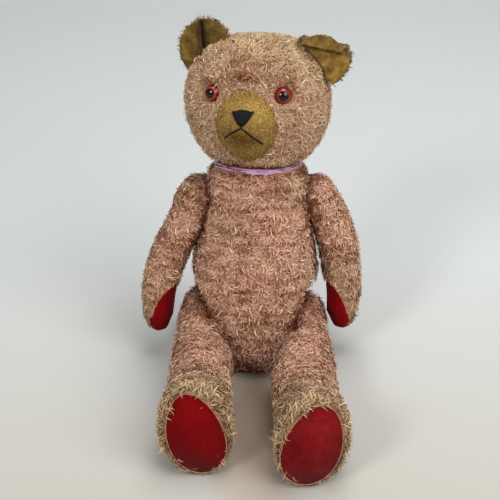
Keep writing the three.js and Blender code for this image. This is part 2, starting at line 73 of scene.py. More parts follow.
# The studio: a pale sweep of paper that curves up behind the bear, three soft lamps and a grey room.
# The paper has painted shade towards the camera and painted light at the back, and a painted shadow,
# warm and dark, in an oval under the legs.
def painted(name, **finish):
    """A new material, its node tree and its shader, with the shader's values by name."""
    material = bpy.data.materials.new(name)
    material.use_nodes = True
    tree = material.node_tree
    shader = tree.nodes["Principled BSDF"]
    for label, value in finish.items():
        shader.inputs[label.replace("_", " ")].default_value = value
    return material, tree, shader


def node(tree, kind, **values):
    """A new node with its settings, and its inputs by name."""
    made = tree.nodes.new(kind)
    for name, value in values.items():
        if hasattr(made, name):
            setattr(made, name, value)
        else:
            made.inputs[name.replace("_", " ")].default_value = value
    return made


def join(tree, start, end):
    tree.links.new(start, end)


def ramp(tree, source, *stops):
    """Colours along a value: each stop is its place and its colour."""
    made = node(tree, "ShaderNodeValToRGB")
    bands = made.color_ramp.elements
    while len(bands) < len(stops):
        bands.new(0.5)
    for band, (place, colour) in zip(bands, stops):
        band.position = place
        band.color = (*colour, 1)
    join(tree, source, made.inputs["Fac"])
    return made.outputs["Color"]


def blend_colours(tree, share, first, second, kind="MIX"):
    """One colour over another. Each is a socket or a plain colour, and share a socket or a number."""
    made = node(tree, "ShaderNodeMix", data_type="RGBA", blend_type=kind)
    for value, socket in ((share, made.inputs[0]), (first, made.inputs[6]), (second, made.inputs[7])):
        if isinstance(value, bpy.types.NodeSocket):
            join(tree, value, socket)
        elif isinstance(value, tuple):
            socket.default_value = (*value, 1)
        else:
            socket.default_value = value
    return made.outputs[2]


def rgb(red, green, blue):
    """A colour as a screen shows it, in 0 to 255, as the linear colour that the shader takes."""
    parts = (red / 255, green / 255, blue / 255)
    return tuple(c / 12.92 if c <= 0.04045 else ((c + 0.055) / 1.055) ** 2.4 for c in parts)


def corners_in(geometry):
    """The vertices among what a bmesh operator gives back."""
    return [v for v in geometry if isinstance(v, bmesh.types.BMVert)]


# Painted shade on the paper near the camera, and painted light on it at the back.
PAPER_NEAR_PAINTED_SHADE = rgb(172, 168, 158)
PAPER = rgb(190, 193, 192)
PAPER_FAR_PAINTED_LIGHT = rgb(207, 210, 208)
PAPER_PAINTED_SHADOW = rgb(146, 128, 112)
PAPER_NEAR_Y, PAPER_FAR_Y = -0.3, 1.7
PAPER_DROP = 0.0005
SHADOW_OVAL_MIDDLE = (0, -0.13, 0)
SHADOW_OVAL_NARROWED = (2.6, 1, 1)
SHADOW_OVAL_CORE, SHADOW_OVAL_EDGE = 0.06, 0.17
SWEEP_HALF = 3.0
SWEEP_BACK = 1.4
SWEEP_RADIUS = 0.5
SWEEP_STEPS = 16
WALL_HEIGHT = 2.5

paper, paper_tree, paper_shader = painted("studio_paper", Roughness=0.85)
where = node(paper_tree, "ShaderNodeTexCoord")
place = node(paper_tree, "ShaderNodeSeparateXYZ")
join(paper_tree, where.outputs["Object"], place.inputs[0])
depth = node(paper_tree, "ShaderNodeMapRange", From_Min=PAPER_NEAR_Y, From_Max=PAPER_FAR_Y)
join(paper_tree, place.outputs["Y"], depth.inputs["Value"])
open_paper = ramp(paper_tree, depth.outputs["Result"], (0.0, PAPER_NEAR_PAINTED_SHADE), (0.25, PAPER), (1.0, PAPER_FAR_PAINTED_LIGHT))
narrow = node(paper_tree, "ShaderNodeVectorMath", operation="MULTIPLY")
join(paper_tree, where.outputs["Object"], narrow.inputs[0])
narrow.inputs[1].default_value = SHADOW_OVAL_NARROWED
apart = node(paper_tree, "ShaderNodeVectorMath", operation="DISTANCE")
join(paper_tree, narrow.outputs["Vector"], apart.inputs[0])
apart.inputs[1].default_value = SHADOW_OVAL_MIDDLE
# The painted shadow: a warm dark oval on the paper under the legs, narrowed from side to side.
painted_shadow = node(paper_tree, "ShaderNodeMapRange", From_Min=SHADOW_OVAL_EDGE, From_Max=SHADOW_OVAL_CORE)
join(paper_tree, apart.outputs["Value"], painted_shadow.inputs["Value"])
join(paper_tree, blend_colours(paper_tree, painted_shadow.outputs["Result"], open_paper, PAPER_PAINTED_SHADOW),
     paper_shader.inputs["Base Color"])

bm = bmesh.new()
front_corners = [bm.verts.new((side * SWEEP_HALF, -SWEEP_HALF, -PAPER_DROP)) for side in (-1, 1)]
front_edge = bm.edges.new(front_corners)
floor = bmesh.ops.extrude_edge_only(bm, edges=[front_edge])["geom"]
bmesh.ops.translate(bm, vec=(0, SWEEP_HALF + SWEEP_BACK, 0), verts=corners_in(floor))
back_edge = [e for e in floor if isinstance(e, bmesh.types.BMEdge) and all(v.co.y > 0 for v in e.verts)]
bmesh.ops.spin(bm, geom=back_edge, cent=(0, SWEEP_BACK, SWEEP_RADIUS), axis=(1, 0, 0), angle=math.pi / 2,
               steps=SWEEP_STEPS)
top_edge = [e for e in bm.edges if all(v.co.z > SWEEP_RADIUS * 0.99 for v in e.verts)]
wall = bmesh.ops.extrude_edge_only(bm, edges=top_edge)["geom"]
bmesh.ops.translate(bm, vec=(0, 0, WALL_HEIGHT), verts=corners_in(wall))
bmesh.ops.recalc_face_normals(bm, faces=bm.faces)
sweep_mesh = bpy.data.meshes.new("sweep")
bm.to_mesh(sweep_mesh)
bm.free()
sweep = put("sweep", sweep_mesh)
sweep.data.materials.append(paper)

for name, place, aim, size, power in (
    ("window_lamp", (-1.2, -1.6, 1.5), (0, 0, 0.15), 0.6, 27.0),
    ("fill_lamp", (1.3, -1.2, 1.6), (0, 0, 0.15), 1.6, 40.0),
    ("top_lamp", (0.3, 0.3, 2.2), (0, 0, 0.1), 1.2, 28.0),
):
    lamp = bpy.data.lights.new(name, "AREA")
    lamp.size = size
    lamp.energy = power
    lamp_object = put(name, lamp)
    lamp_object.location = place
    lamp_object.rotation_euler = (Vector(place) - Vector(aim)).to_track_quat("Z", "Y").to_euler()

world = bpy.data.worlds.new("room")
world.use_nodes = True
room_light = world.node_tree.nodes["Background"]
room_light.inputs["Color"].default_value = (*rgb(236, 238, 240), 1)
room_light.inputs["Strength"].default_value = 0.30
scene.world = world


# Covers: six bags of woven mohair, each stuffed hard and closed by hand. A cover's form is its cut
# cloth with the pads and soles that are sewn into it, drawn tight by the filling.
CLOTH_CELL = 0.003
CLOTH_CALM = 12
SMOOTHING_LOSS = 0.0006


def cloth_form(name, *cad_nodes, cell=CLOTH_CELL, calm=CLOTH_CALM):
    """The outer face of some CAD nodes as one smooth closed mesh, in a new object."""
    bm = bmesh.new()
    for each in cad_nodes:
        bm.from_mesh(frame["nodes"][each].data)
    bmesh.ops.remove_doubles(bm, verts=bm.verts, dist=1e-6)
    rough = bpy.data.meshes.new(name)
    bm.to_mesh(rough)
    bm.free()
    form = put(name, rough)
    skin = form.modifiers.new("skin", "REMESH")
    skin.mode = "VOXEL"
    skin.voxel_size = cell
    smooth = form.modifiers.new("smooth", "SMOOTH")
    smooth.iterations = calm
    smooth.factor = 0.5
    form.data = bpy.data.meshes.new_from_object(form.evaluated_get(bpy.context.evaluated_depsgraph_get()))
    form.modifiers.clear()
    for corner, out in zip(form.data.vertices, [v.normal.copy() for v in form.data.vertices]):
        corner.co += out * SMOOTHING_LOSS
        corner.co.z = max(corner.co.z, 0.0)
    form.data.polygons.foreach_set("use_smooth", [True] * len(form.data.polygons))
    return form


def patches(tree, scale, detail=3.0, roughness=0.6):
    """Cloudy noise on the object's own coordinates."""
    where = node(tree, "ShaderNodeTexCoord")
    cloud = node(tree, "ShaderNodeTexNoise", Scale=scale, Detail=detail, Roughness=roughness)
    join(tree, where.outputs["Object"], cloud.inputs["Vector"])
    return cloud.outputs["Fac"]


def roughened(tree, shader, height, distance):
    """A bump from a height."""
    bump = node(tree, "ShaderNodeBump", Distance=distance)
    join(tree, height, bump.inputs["Height"])
    join(tree, bump.outputs["Normal"], shader.inputs["Normal"])


def mottled(name, cloud, *stops, relief=None, **finish):
    """A material in cloudy colours. cloud is its noise's scale, detail and roughness. relief is the height
    of a bump, and then the same of the finer noise that makes it."""
    material, tree, shader = painted(name, **finish)
    join(tree, ramp(tree, patches(tree, *cloud), *stops), shader.inputs["Base Color"])
    if relief:
        height, *grain = relief
        roughened(tree, shader, patches(tree, *grain), height)
    return material


backing = mottled("mohair_backing", (60,), (0.3, rgb(136, 92, 68)), (0.75, rgb(178, 134, 106)),
                  relief=(0.0004, 900, 2), Roughness=0.95)

COVERS = {
    "torso": ("torso_cover",),
    "head": ("head_cover", "muzzle"),
    "left_arm": ("left_arm_cover", "left_paw_pad"),
    "right_arm": ("right_arm_cover", "right_paw_pad"),
    "left_leg": ("left_leg_cover", "left_sole"),
    "right_leg": ("right_leg_cover", "right_sole"),
}
covers = {}
for body, cad_nodes in COVERS.items():
    cover = cloth_form(f"{body}_cloth", f"{body}_stuffing", *cad_nodes)
    cover.data.materials.append(backing)
    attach(cover, body)
    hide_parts(cad_nodes[0])
    covers[body] = cover

# The torso's cover bags out a little at its sides where it is gathered in round the neck.
SHOULDER_BAG = 0.004
BAG_FROM, BAG_TO = 0.180, 0.200
BAG_FULL_AT = 0.03

for corner in covers["torso"].data.vertices:
    share = min(1.0, max(0.0, (corner.co.z - BAG_FROM) / (BAG_TO - BAG_FROM)))
    corner.co.x += SHOULDER_BAG * share * max(-1.0, min(1.0, corner.co.x / BAG_FULL_AT))


# Muzzle: mohair shaved down to a short golden pile, let into the front of the head with a plain seam.
# The inlet narrows towards the chin, and it is soiled brown there, most of all under the mouth.
CHIN_TAPER = 0.16
CHIN_DIRT_UP = 0.040
CHIN_DIRT_ACROSS, CHIN_DIRT_TALL = 0.020, 0.011
FACE_AHEAD = 0.03
NOT_ON_FACE = 9.0
VELOUR_CELL = 0.002
VELOUR_CALM = 50
VELOUR_TRIM = 1.04
VELOUR_PROUD = 0.0012
VELOUR_THICK = 0.0022


def middle(*cad_nodes):
    """The middle of some CAD nodes' boxes."""
    boxes = [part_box(each) for each in cad_nodes]
    return sum(((low + high) / 2 for low, high in boxes), Vector()) / len(boxes)


# Places on the head, from the neck joint and the two eyes: across is its own left, ahead is where the
# face looks, and up runs along the neck pin.
neck = next(joint for joint in frame["joints"] if joint["name"] == "neck_turn")
head_origin = Vector(neck["pos_m"])
head_up = Vector(neck["axis"]).normalized()
head_across = (middle("left_eye") - middle("right_eye")).normalized()
head_ahead = head_across.cross(head_up).normalized()
head_turn = Matrix((head_across, -head_ahead, head_up)).transposed()


def on_head(places):
    """Places in the head's own frame: across, behind and up from the neck pin."""
    return (np.asarray(places, float) - np.array(head_origin)) @ np.array(head_turn)


def from_head(across, ahead, up):
    """The place that is this far across, ahead and up from the neck pin."""
    return head_origin + head_across * across + head_ahead * ahead + head_up * up


def weight(mesh, label, values):
    """A value for each vertex, for a material to read."""
    layer = mesh.attributes.get(label) or mesh.attributes.new(label, "FLOAT", "POINT")
    layer.data.foreach_set("value", np.asarray(values, np.float32))


def tree_of(piece):
    """A piece's surface, to be asked for its nearest point or for where a line meets it."""
    return BVHTree.FromObject(piece, bpy.context.evaluated_depsgraph_get())


muzzle_places = on_head([v.co for v in frame["nodes"]["muzzle"].data.vertices])
muzzle_middle = (muzzle_places.min(0) + muzzle_places.max(0)) / 2
muzzle_half = (muzzle_places.max(0) - muzzle_places.min(0)) / 2


def inlet(own):
    """How far out a place on the face is, 1 at the muzzle's seam."""
    up = (own[:, 2] - muzzle_middle[2]) / muzzle_half[2]
    across = (own[:, 0] - muzzle_middle[0]) / muzzle_half[0] / (1 - CHIN_TAPER * np.clip(-up, 0, 1))
    return np.where(own[:, 1] < -FACE_AHEAD, np.sqrt(across ** 2 + up ** 2), NOT_ON_FACE)


def chin_dirt(own):
    """How soiled a place on the muzzle is."""
    across = own[:, 0] / CHIN_DIRT_ACROSS
    up = (own[:, 2] - CHIN_DIRT_UP) / CHIN_DIRT_TALL
    return np.exp(-(across ** 2) - up ** 2)


velour, velour_tree, velour_shader = painted("shaved_mohair", Roughness=0.9, Sheen_Weight=0.1,
                                             Specular_IOR_Level=0.2)
chin = node(velour_tree, "ShaderNodeAttribute", attribute_name="chin").outputs["Fac"]
golden = ramp(velour_tree, patches(velour_tree, 90, 6, 0.7),
              (0.3, rgb(112, 86, 34)), (0.7, rgb(156, 126, 64)))
join(velour_tree, blend_colours(velour_tree, chin, golden, rgb(84, 54, 12)),
     velour_shader.inputs["Base Color"])
roughened(velour_tree, velour_shader, patches(velour_tree, 1100, 3), 0.0005)

snout = cloth_form("muzzle_velour", "head_stuffing", "head_cover", "muzzle", cell=VELOUR_CELL,
                   calm=VELOUR_CALM)
bm = bmesh.new()
bm.from_mesh(snout.data)
far = inlet(on_head([v.co for v in bm.verts]))
bmesh.ops.delete(bm, geom=[v for v, f in zip(bm.verts, far) if f > VELOUR_TRIM], context="VERTS")
seam = [v for v in bm.verts if v.is_boundary]
for corner in seam:
    own = on_head([corner.co])
    place = own[0].copy()
    place[[0, 2]] = muzzle_middle[[0, 2]] + (place[[0, 2]] - muzzle_middle[[0, 2]]) / inlet(own)[0]
    corner.co = from_head(place[0], -place[1], place[2])
bmesh.ops.smooth_vert(bm, verts=seam, factor=0.5, use_axis_x=True, use_axis_y=True, use_axis_z=True)
bm.normal_update()
for corner, out in [(v, v.normal.copy()) for v in bm.verts]:
    corner.co += out * VELOUR_PROUD
bmesh.ops.solidify(bm, geom=bm.faces[:], thickness=VELOUR_THICK)
bm.to_mesh(snout.data)
bm.free()
weight(snout.data, "chin", chin_dirt(on_head([v.co for v in snout.data.vertices])))
snout.data.materials.clear()
snout.data.materials.append(velour)
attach(snout, "head")
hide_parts("muzzle")
snout_tree = tree_of(snout)


# Nose: a triangle of black cotton, laid in upright satin stitches through the muzzle. The last stitch
# at the bear's left stands a little higher than the rest.
NOSE_HALF_WIDTH = 0.0098
NOSE_HEIGHT = 0.0126
NOSE_SIDE_HEIGHT = 0.0034
NOSE_TOP = 0.0672
NOSE_TOP_BOW = 0.0030
NOSE_TAPER = 1.7
NOSE_STITCHES = 15
NOSE_THREAD = 0.0011
NOSE_PROUD = 0.0009
NOSE_SUNK = 0.0004
NOSE_HIGH_STITCH = 0.0009
BEFORE_FACE = 0.15
THREAD_SIDES = 6
THREAD_END = 0.55


def on_snout(across, up, proud):
    """The place on the muzzle's face, seen from straight ahead, and a distance in front of it."""
    place, out = snout_tree.ray_cast(from_head(across, BEFORE_FACE, up), -head_ahead)[:2]
    return place + out * proud


def shaped(name, bm, material, body, slot, *stands_for):
    """A finished bmesh as a piece that rides on a body."""
    mesh = bpy.data.meshes.new(name)
    bmesh.ops.recalc_face_normals(bm, faces=bm.faces)
    for corner in bm.verts:
        corner.co.z = max(corner.co.z, 0.0)
    bm.to_mesh(mesh)
    bm.free()
    mesh.polygons.foreach_set("use_smooth", [True] * len(mesh.polygons))
    mesh.materials.append(material)
    made = put(name, mesh)
    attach(made, body)
    if stands_for:
        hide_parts(*stands_for)
    return made


def thread_along(bm, points, radius):
    """A round thread through some points, closed and thinner at both ends."""
    rings = []
    for k, point in enumerate(points):
        way = (points[min(k + 1, len(points) - 1)] - points[max(k - 1, 0)]).normalized()
        turn = way.to_track_quat("Z", "Y").to_matrix().to_4x4()
        end = k in (0, len(points) - 1)
        made = bmesh.ops.create_circle(bm, cap_ends=end, segments=THREAD_SIDES,
                                       radius=radius * (THREAD_END if end else 1),
                                       matrix=Matrix.Translation(point) @ turn)
        corners = set(made["verts"])
        rings.append({e for v in corners for e in v.link_edges if corners.issuperset(e.verts)})
    for first, second in zip(rings, rings[1:]):
        bmesh.ops.bridge_loops(bm, edges=list(first | second))


cotton = mottled("black_cotton", (500,), (0.35, rgb(8, 8, 9)), (0.75, rgb(26, 24, 23)),
                 relief=(0.0002, 2500, 2), Roughness=0.55, Specular_IOR_Level=0.12)

bm = bmesh.new()
for k in range(NOSE_STITCHES):
    share = 2 * k / (NOSE_STITCHES - 1) - 1
    top = NOSE_TOP - NOSE_TOP_BOW * share ** 2 + (NOSE_HIGH_STITCH if k == NOSE_STITCHES - 1 else 0)
    foot = NOSE_TOP - NOSE_HEIGHT * (1 - abs(share) ** NOSE_TAPER) - NOSE_SIDE_HEIGHT
    line = [on_snout(share * NOSE_HALF_WIDTH, top + (foot - top) * t, NOSE_PROUD if 0 < t < 1 else -NOSE_SUNK)
            for t in np.linspace(0, 1, 7)]
    thread_along(bm, line, NOSE_THREAD)
nose = shaped("nose_satin_stitches", bm, cotton, "head", "black_thread", "nose_stitching")

# Mouth: three stitches of the same thread, a short one down from the nose, and two long ones from its
# foot to the corners of the mouth, which bow a little upwards.
MOUTH_THREAD = 0.00085
MOUTH_TOP = 0.0502
MOUTH_STEM = 0.0035
MOUTH_STEM_STEP = 0.001
MOUTH_STEM_PROUD = 0.0005
MOUTH_ENDS = ((0.0200, 0.0315), (-0.0205, 0.0360))
MOUTH_BOW = 0.0012
MOUTH_PROUD = 0.0006
MOUTH_SUNK = 0.0005

bm = bmesh.new()
stem = [on_snout(0, MOUTH_TOP + MOUTH_STEM - MOUTH_STEM_STEP * k, MOUTH_STEM_PROUD) for k in range(5)]
thread_along(bm, stem, MOUTH_THREAD)
for across, up in MOUTH_ENDS:
    line = []
    for t in np.linspace(0, 1, 12):
        height = MOUTH_TOP + (up - MOUTH_TOP) * t + MOUTH_BOW * math.sin(math.pi * t)
        line.append(on_snout(across * t, height, MOUTH_PROUD if 0 < t < 1 else -MOUTH_SUNK))
    thread_along(bm, line, MOUTH_THREAD)
shaped("mouth_stitches", bm, cotton, "head", "black_thread", "mouth_stitching")

# Eyes: blown glass, orange red behind with a black pupil, each on a wire loop through the face. They
# look a little outwards and up.
EYE_LOOK_OUT = 0.32
EYE_LOOK_UP = 0.08
EYE_PROUD = 0.0006
OUTWARD = {"left": 1, "right": -1}

glass, glass_tree, glass_shader = painted("eye_glass", Roughness=0.4, Specular_IOR_Level=0.05,
                                          Coat_Weight=0.8, Coat_Roughness=0.02, IOR=1.5)
ring = node(glass_tree, "ShaderNodeAttribute", attribute_name="ring").outputs["Fac"]
join(glass_tree, ramp(glass_tree, ring, (0.0, rgb(4, 2, 3)), (0.36, rgb(5, 2, 3)), (0.39, rgb(104, 20, 10)),
                      (0.46, rgb(160, 44, 22)), (0.58, rgb(120, 16, 8)), (0.78, rgb(58, 4, 4))),
     glass_shader.inputs["Base Color"])

eye_middles = []
for side, outward in OUTWARD.items():
    low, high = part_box(f"{side}_eye")
    centre = (low + high) / 2 + head_ahead * EYE_PROUD
    look = (head_ahead + head_across * outward * EYE_LOOK_OUT + head_up * EYE_LOOK_UP).normalized()
    turn = look.to_track_quat("Z", "Y").to_matrix().to_4x4()
    eye_middles.append(centre)
    bm = bmesh.new()
    bmesh.ops.create_uvsphere(bm, u_segments=40, v_segments=28, radius=(high - low).z / 2,
                              matrix=Matrix.Translation(centre) @ turn)
    eye = shaped(f"{side}_glass_eye", bm, glass, "head", "eye_glass", f"{side}_eye")
    weight(eye.data, "ring", [(v.co - centre).angle(look) * 2 / math.pi for v in eye.data.vertices])

# Ears: mohair behind and olive brown velvet in front, turned and sewn to the crown. Both have lost their
# stiffness: the right one is creased upright, and the left one is folded across.
EAR_CELL = 0.0011
EAR_CALM = 4
CREASE_WIDTH = 0.0012
BACK_LATER = 0.0025

# A crease runs through a place, across and up on the head, and way is its turn from level in degrees.
# The cloth slides over it, stands up beyond it and sinks before it, less and less out to its reach. Before
# it the cloth keeps its tuck, a share of its size, and the whole ear may be moved out. The groove of the
# crease is painted dark for its shade, and farther off the cloth is painted as dark as its wear and shade
# beyond it and before it.
EAR_FOLDS = {
    "left": {
        "through": (0.0730, 0.1225), "way": -11, "over": 0.004, "stand": 0.010, "sink": 0.003, "reach": 0.014,
        "tuck": 0.86, "out": 0.0030, "groove": 0.0040, "groove_beyond": 0.0004, "worn_and_shaded": 0.44, "dark_before": 0.0,
    },
    "right": {
        "through": (0.0560, 0.120), "way": -97, "over": 0.003, "stand": 0.010, "sink": 0.006, "reach": 0.010,
        "tuck": 0.90, "out": 0.0, "groove": 0.0110, "groove_beyond": 0.0035, "worn_and_shaded": 0.36, "dark_before": 0.42,
    },
}

velvet, velvet_tree, velvet_shader = painted("ear_velvet", Roughness=0.85, Sheen_Weight=0.12,
                                             Sheen_Roughness=0.35, Specular_IOR_Level=0.15)
brushed = ramp(velvet_tree, patches(velvet_tree, 110, 5, 0.65),
               (0.3, rgb(82, 56, 14)), (0.52, rgb(128, 98, 42)), (0.75, rgb(172, 142, 78)))
# Painted shade and wear along each crease darken the velvet towards this dark brown.
crease_wear_and_shade = node(velvet_tree, "ShaderNodeAttribute", attribute_name="crease_wear_and_shade").outputs["Fac"]
join(velvet_tree, blend_colours(velvet_tree, crease_wear_and_shade, brushed, rgb(34, 18, 4)),
     velvet_shader.inputs["Base Color"])
roughened(velvet_tree, velvet_shader, patches(velvet_tree, 260, 4), 0.0012)
ear_backing = mottled("ear_backing", (60,), (0.3, rgb(84, 56, 24)), (0.75, rgb(128, 94, 52)), Roughness=0.95)


def past_crease(own, side):
    """How far beyond the crease of its ear a place on the head is, and the way beyond, across and up."""
    way = math.radians(EAR_FOLDS[side]["way"])
    beyond = (-math.sin(way) * OUTWARD[side], math.cos(way))
    across, up = EAR_FOLDS[side]["through"]
    return (own[..., 0] - across * OUTWARD[side]) * beyond[0] + (own[..., 2] - up) * beyond[1], beyond


def folded(place, side, later):
    """Where a point of the plain ear goes when the ear is folded over along its crease, and how dark it
    is there. The fold of the ear's back lies a little later than that of its front."""
    fold = EAR_FOLDS[side]
    own = on_head([place])[0]
    past, beyond = past_crease(own, side)
    past -= later
    share = math.exp(-abs(past) / fold["reach"])
    step = max(-1.0, min(1.0, past / CREASE_WIDTH))
    slide = -fold["over"] * share * step + (1 - fold["tuck"]) * max(0.0, -past)
    stand = fold["stand"] * share * max(0.0, step) - fold["sink"] * share * max(0.0, -step)
    across = own[0] + beyond[0] * slide + fold["out"] * OUTWARD[side]
    moved = from_head(across, stand - own[1], own[2] + beyond[1] * slide)
    # Painted shade in the groove along the crease, and painted wear and shade to either side of it.
    base, groove = (fold["worn_and_shaded"], fold["groove_beyond"]) if past > 0 else (fold["dark_before"], fold["groove"])
    return moved, base + (1 - base) * math.exp(-abs(past) / groove)


ears = {}
for side in OUTWARD:
    for layer, material, slot, later in (
        ("front", velvet, "velvet", 0),
        ("back", ear_backing, "mohair", BACK_LATER),
    ):
        ear = cloth_form(f"{side}_ear_{layer}_cloth", f"{side}_ear_{layer}", cell=EAR_CELL, calm=EAR_CALM)
        turned = [folded(corner.co, side, later) for corner in ear.data.vertices]
        for corner, (place, _) in zip(ear.data.vertices, turned):
            corner.co = place
        weight(ear.data, "crease_wear_and_shade", [depth for _, depth in turned])
        ear.data.materials.append(material)
        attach(ear, "head")
        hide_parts(f"{side}_ear_{layer}")
        ears[side, layer] = ear

# Soles and paw pads: crimson wool felt, rubbed thin in places. Each sole is sewn round a board with a
# narrow turned edge, and each pad lies in the seam of the paw.
FELT_PROUD = 0.0007
FELT_THICK = 0.004
SOLE_CROWN = 0.0016
SOLE_CROWN_POWER = 0.7
SOLE_UNEVEN = 0.0004
SOLE_UNEVEN_SCALE = 2.5
SOLE_WIDTH = 0.96
SOLE_TAPER = 0.15
SOLE_LEAN = 0.15
SOLE_SIDES = 72
SOLE_RINGS = 9
SOLE_RING = 0.105
SAME_WAY = 0.999
SAME_PLANE = 0.0002
SEAM_RADIUS = 0.0007
SEAM_STEPS = 96
SEAM_WIDE, SEAM_TALL = 1.02, 1.015
SEAM_WAVE = 0.0003
SEAM_WAVES = 23
PAD_CELL = 0.0009
PAD_CALM = 6

felts = {
    name: mottled(name, (60, 8, 0.8), (0.35, deep), (0.7, rubbed), relief=(0.0003, 900, 4), Roughness=0.92,
                  Sheen_Weight=0.04, Sheen_Roughness=0.4, Specular_IOR_Level=0.08)
    for name, deep, rubbed in (
        ("felt", rgb(100, 1, 4), rgb(122, 3, 8)),
        ("faded_felt", rgb(98, 8, 10), rgb(132, 24, 26)),
    )
}
binding = mottled("turned_edge", (300,), (0.3, rgb(128, 84, 60)), (0.7, rgb(176, 132, 104)),
                  relief=(0.0003, 1500, 2), Roughness=0.9)


def sole_across(side, x, y):
    """Across a sole, from its round form: it leans outwards at the toe, and is narrower there."""
    return x * (SOLE_WIDTH - SOLE_TAPER * y) + OUTWARD[side] * SOLE_LEAN * y


sole_planes = {}
for side, name in (("left", "faded_felt"), ("right", "felt")):
    cut = frame["nodes"][f"{side}_sole"].data
    flat = max(cut.polygons, key=lambda face: -face.normal.y * face.area)
    out = flat.normal.normalized()
    faces = [face for face in cut.polygons if face.normal.dot(out) > SAME_WAY
             and abs((face.center - flat.center).dot(out)) < SAME_PLANE]
    rim = np.array([cut.vertices[k].co for face in faces for k in face.vertices])
    centre = Vector((rim.max(0) + rim.min(0)) / 2)
    tall = Vector(max(rim, key=lambda p: p[2])) - Vector(min(rim, key=lambda p: p[2]))
    tall = (tall - out * tall.dot(out)).normalized()
    wide = tall.cross(out).normalized()
    half_wide, half_tall = (max(abs((rim - np.array(centre)) @ np.array(way))) for way in (wide, tall))
    sole_planes[side] = (centre, out)
    bm = bmesh.new()
    bmesh.ops.create_circle(bm, cap_ends=True, segments=SOLE_SIDES, radius=1)
    for ring in range(SOLE_RINGS):
        inner = [face for face in bm.faces if len(face.verts) == SOLE_SIDES]
        bmesh.ops.inset_region(bm, faces=inner, thickness=SOLE_RING, depth=0)
    for corner in bm.verts:
        x, y = corner.co.x, corner.co.y
        crown = SOLE_CROWN * (1 - min(1.0, x * x + y * y)) ** SOLE_CROWN_POWER
        crown += SOLE_UNEVEN * noise.noise(Vector((x * SOLE_UNEVEN_SCALE, y * SOLE_UNEVEN_SCALE, len(side))))
        corner.co = (centre + wide * sole_across(side, x, y) * half_wide + tall * y * half_tall
                     + out * (FELT_PROUD + crown))
    back = bmesh.ops.extrude_face_region(bm, geom=bm.faces[:], use_keep_orig=True)["geom"]
    bmesh.ops.translate(bm, vec=out * -FELT_THICK, verts=corners_in(back))
    shaped(f"{side}_felt_sole", bm, felts[name], f"{side}_leg", "felt", f"{side}_sole")
    bm = bmesh.new()
    edge = []
    for k in range(SEAM_STEPS + 1):
        turn = 2 * math.pi * k / SEAM_STEPS
        proud = FELT_PROUD * 0.6 + SEAM_WAVE * math.sin(turn * SEAM_WAVES)
        edge.append(centre + wide * sole_across(side, math.cos(turn) * SEAM_WIDE, math.sin(turn)) * half_wide
                    + tall * math.sin(turn) * half_tall * SEAM_TALL + out * proud)
    thread_along(bm, edge, SEAM_RADIUS)
    shaped(f"{side}_sole_edge", bm, binding, f"{side}_leg", "mohair")

for side in OUTWARD:
    pad = cloth_form(f"{side}_felt_pad", f"{side}_paw_pad", cell=PAD_CELL, calm=PAD_CALM)
    for corner, out in [(v, v.normal.copy()) for v in pad.data.vertices]:
        corner.co += out * FELT_PROUD
    pad.data.materials.append(felts["felt"])
    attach(pad, f"{side}_arm")
    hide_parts(f"{side}_paw_pad")

# Ribbon: a narrow lilac satin ribbon, tied behind long ago and now crushed into the crease of the neck.
# It is stretched round an oval, in long pleats, and leans out over the slope of the shoulders.
RIBBON_HALF = (0.0435, 0.0395)
RIBBON_DROP = 0.005
RIBBON_WIDTH = 0.010
RIBBON_SLOPE = math.radians(42)
RIBBON_TURNS = 160
RIBBON_STRIPS = 16
RIBBON_CRUSHED = 0.52
RIBBON_UNEVEN = 0.07
RIBBON_PLEAT = 0.00095
RIBBON_PLEATS = 2
RIBBON_PLEAT_WANDER = 1.4
RIBBON_PROUD = 0.0024
RIBBON_WAVE = 0.0005

satin = mottled("lilac_satin", (70,), (0.3, rgb(158, 112, 152)), (0.7, rgb(206, 164, 200)), Roughness=0.32,
                Anisotropic=0.5, Sheen_Weight=0.2)

trunk_out = Vector((1, 0, 0))
trunk_front = trunk_out.cross(head_up).normalized()
ribbon_middle = head_origin - head_up * RIBBON_DROP
bm = bmesh.new()
section = [bm.verts.new((1.0, 0, k / RIBBON_STRIPS - 0.5)) for k in range(RIBBON_STRIPS + 1)]
strip = [bm.edges.new(pair) for pair in zip(section, section[1:])]
bmesh.ops.spin(bm, geom=section + strip, cent=(0, 0, 0), axis=(0, 0, 1), angle=2 * math.pi,
               steps=RIBBON_TURNS, use_merge=True)
bmesh.ops.remove_doubles(bm, verts=bm.verts, dist=1e-5)
for corner in bm.verts:
    turn = math.atan2(corner.co.y, corner.co.x)
    share = corner.co.z
    aside, before = trunk_out * math.cos(turn), trunk_front * math.sin(turn)
    at = aside * RIBBON_HALF[0] + before * RIBBON_HALF[1]
    away = (aside / RIBBON_HALF[0] + before / RIBBON_HALF[1]).normalized()
    wander = RIBBON_PLEAT_WANDER * math.sin(turn * 3 + 1)
    pleat = RIBBON_PLEAT * math.sin(share * 2 * RIBBON_PLEATS * math.pi + wander)
    width = share * RIBBON_WIDTH * (RIBBON_CRUSHED + RIBBON_UNEVEN * math.sin(turn * 5))
    lift = RIBBON_PROUD + pleat + RIBBON_WAVE * math.sin(turn * 11 + share * 5)
    out = width * math.sin(RIBBON_SLOPE) + lift * math.cos(RIBBON_SLOPE)
    up = -width * math.cos(RIBBON_SLOPE) + lift * math.sin(RIBBON_SLOPE)
    corner.co = ribbon_middle + at + away * out + head_up * up
ribbon = shaped("lilac_ribbon", bm, satin, "torso", "satin_ribbon", "neck_ribbon")

# Loose thread: one end of dark sewing thread that has worked out at the bear's right and hangs free. Its
# route is in the torso's own frame in millimetres, as in the CAD.
THREAD_RADIUS = 0.00045
THREAD_ROUTE = (
    (-40.9, -16, 218.4), (-44.8, -21.5, 221.2), (-47.6, -28.5, 220.2), (-49.4, -34.5, 215.6),
    (-50.4, -39, 209), (-50.6, -42.5, 201.5), (-50.2, -44.5, 194), (-49.6, -45.5, 187.5),
)

